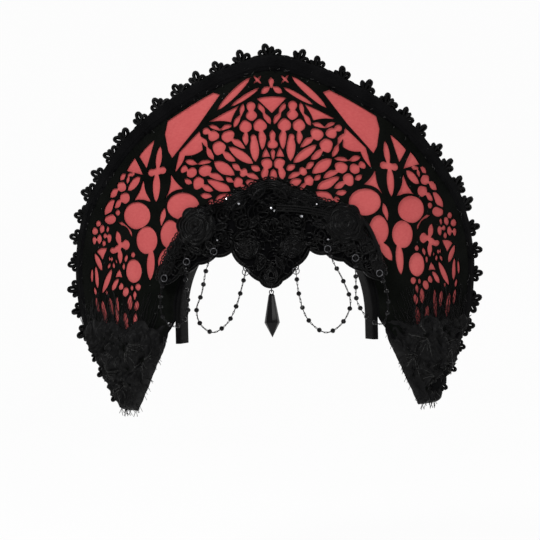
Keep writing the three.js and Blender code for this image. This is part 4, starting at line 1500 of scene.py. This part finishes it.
def makeBail():
    prongs = []
    for side in (-1, 1):
        middle = hinge / mm
        prongs.append([(middle.x + side * out, middle.y, middle.z - down) for out, down in drop["pinch"]])
    bail = torus(drop["bail"], drop["bailWire"], hinge, (math.pi / 2, 0, 0))
    joined = joinAs("drop_bail", [bail, cords("pinch", prongs, drop["prong"], 3)])
    finishPiece(joined, wireMetal, "wire", body="drop", smooth=60)


makeDropRing()
makeDropStone()
makeBail()


# Backdrop and lights

studio = {"floor": -0.34, "size": 9.0, "back": 2.4, "wall": 4.0, "sweep": 1.2}


def makeBackdrop():
    bpy.ops.mesh.primitive_plane_add(size=studio["size"], location=(0, 0, studio["floor"]))
    floor = bpy.context.object
    floor.name = "backdrop"
    placeInMesh(floor)
    for v in floor.data.vertices:
        if v.co.y > 0:
            v.co.y = studio["back"]
    bpy.ops.object.mode_set(mode="EDIT")
    bpy.ops.mesh.select_all(action="DESELECT")
    bpy.ops.object.mode_set(mode="OBJECT")
    for edge in floor.data.edges:
        edge.select = all(floor.data.vertices[i].co.y > studio["back"] - 0.01 for i in edge.vertices)
    bpy.ops.object.mode_set(mode="EDIT")
    bpy.ops.mesh.extrude_region_move(TRANSFORM_OT_translate={"value": (0, 0, studio["wall"])})
    bpy.ops.object.mode_set(mode="OBJECT")
    bevel = floor.modifiers.new("Sweep", "BEVEL")
    bevel.width = studio["sweep"]
    bevel.segments = 16
    applyAll(floor)
    bpy.ops.object.shade_smooth()
    material, tree, shader, place = newMaterial("backdropPaper")
    feed(tree, shader, {
        "Base Color": mixNode(tree, noiseNode(tree, place, 3, 2), (0.05, 0.05, 0.05), (0.06, 0.06, 0.06)),
        "Roughness": 0.9, "Specular IOR Level": 0, "Emission Color": (1, 1, 1), "Emission Strength": 0.93,
    })
    floor.data.materials.append(material)


lamps = [  # name, place, size, power
    ("keyLight", (-1.0, -1.9, 1.6), 0.6, 50),
    ("fillLight", (1.6, -1.6, 0.7), 1.0, 12),
    ("topLight", (0.2, -0.1, 1.9), 0.8, 16),
]


def makeLights():
    for name, place, width, power in lamps:
        data = bpy.data.lights.new(name, "AREA")
        data.size = width
        data.energy = power
        lamp = addObject(name, data)
        lamp.location = place
        lamp.rotation_euler = (view["aim"] - lamp.location).to_track_quat("-Z", "Y").to_euler()
    world = bpy.data.worlds.new("studioAir")
    bpy.context.scene.world = world
    world.use_nodes = True
    feed(world.node_tree, world.node_tree.nodes["Background"], {"Color": (1, 1, 1), "Strength": 0.3})
    bpy.context.scene.view_settings.view_transform = "Standard"


makeBackdrop()
makeLights()
print("studio made")
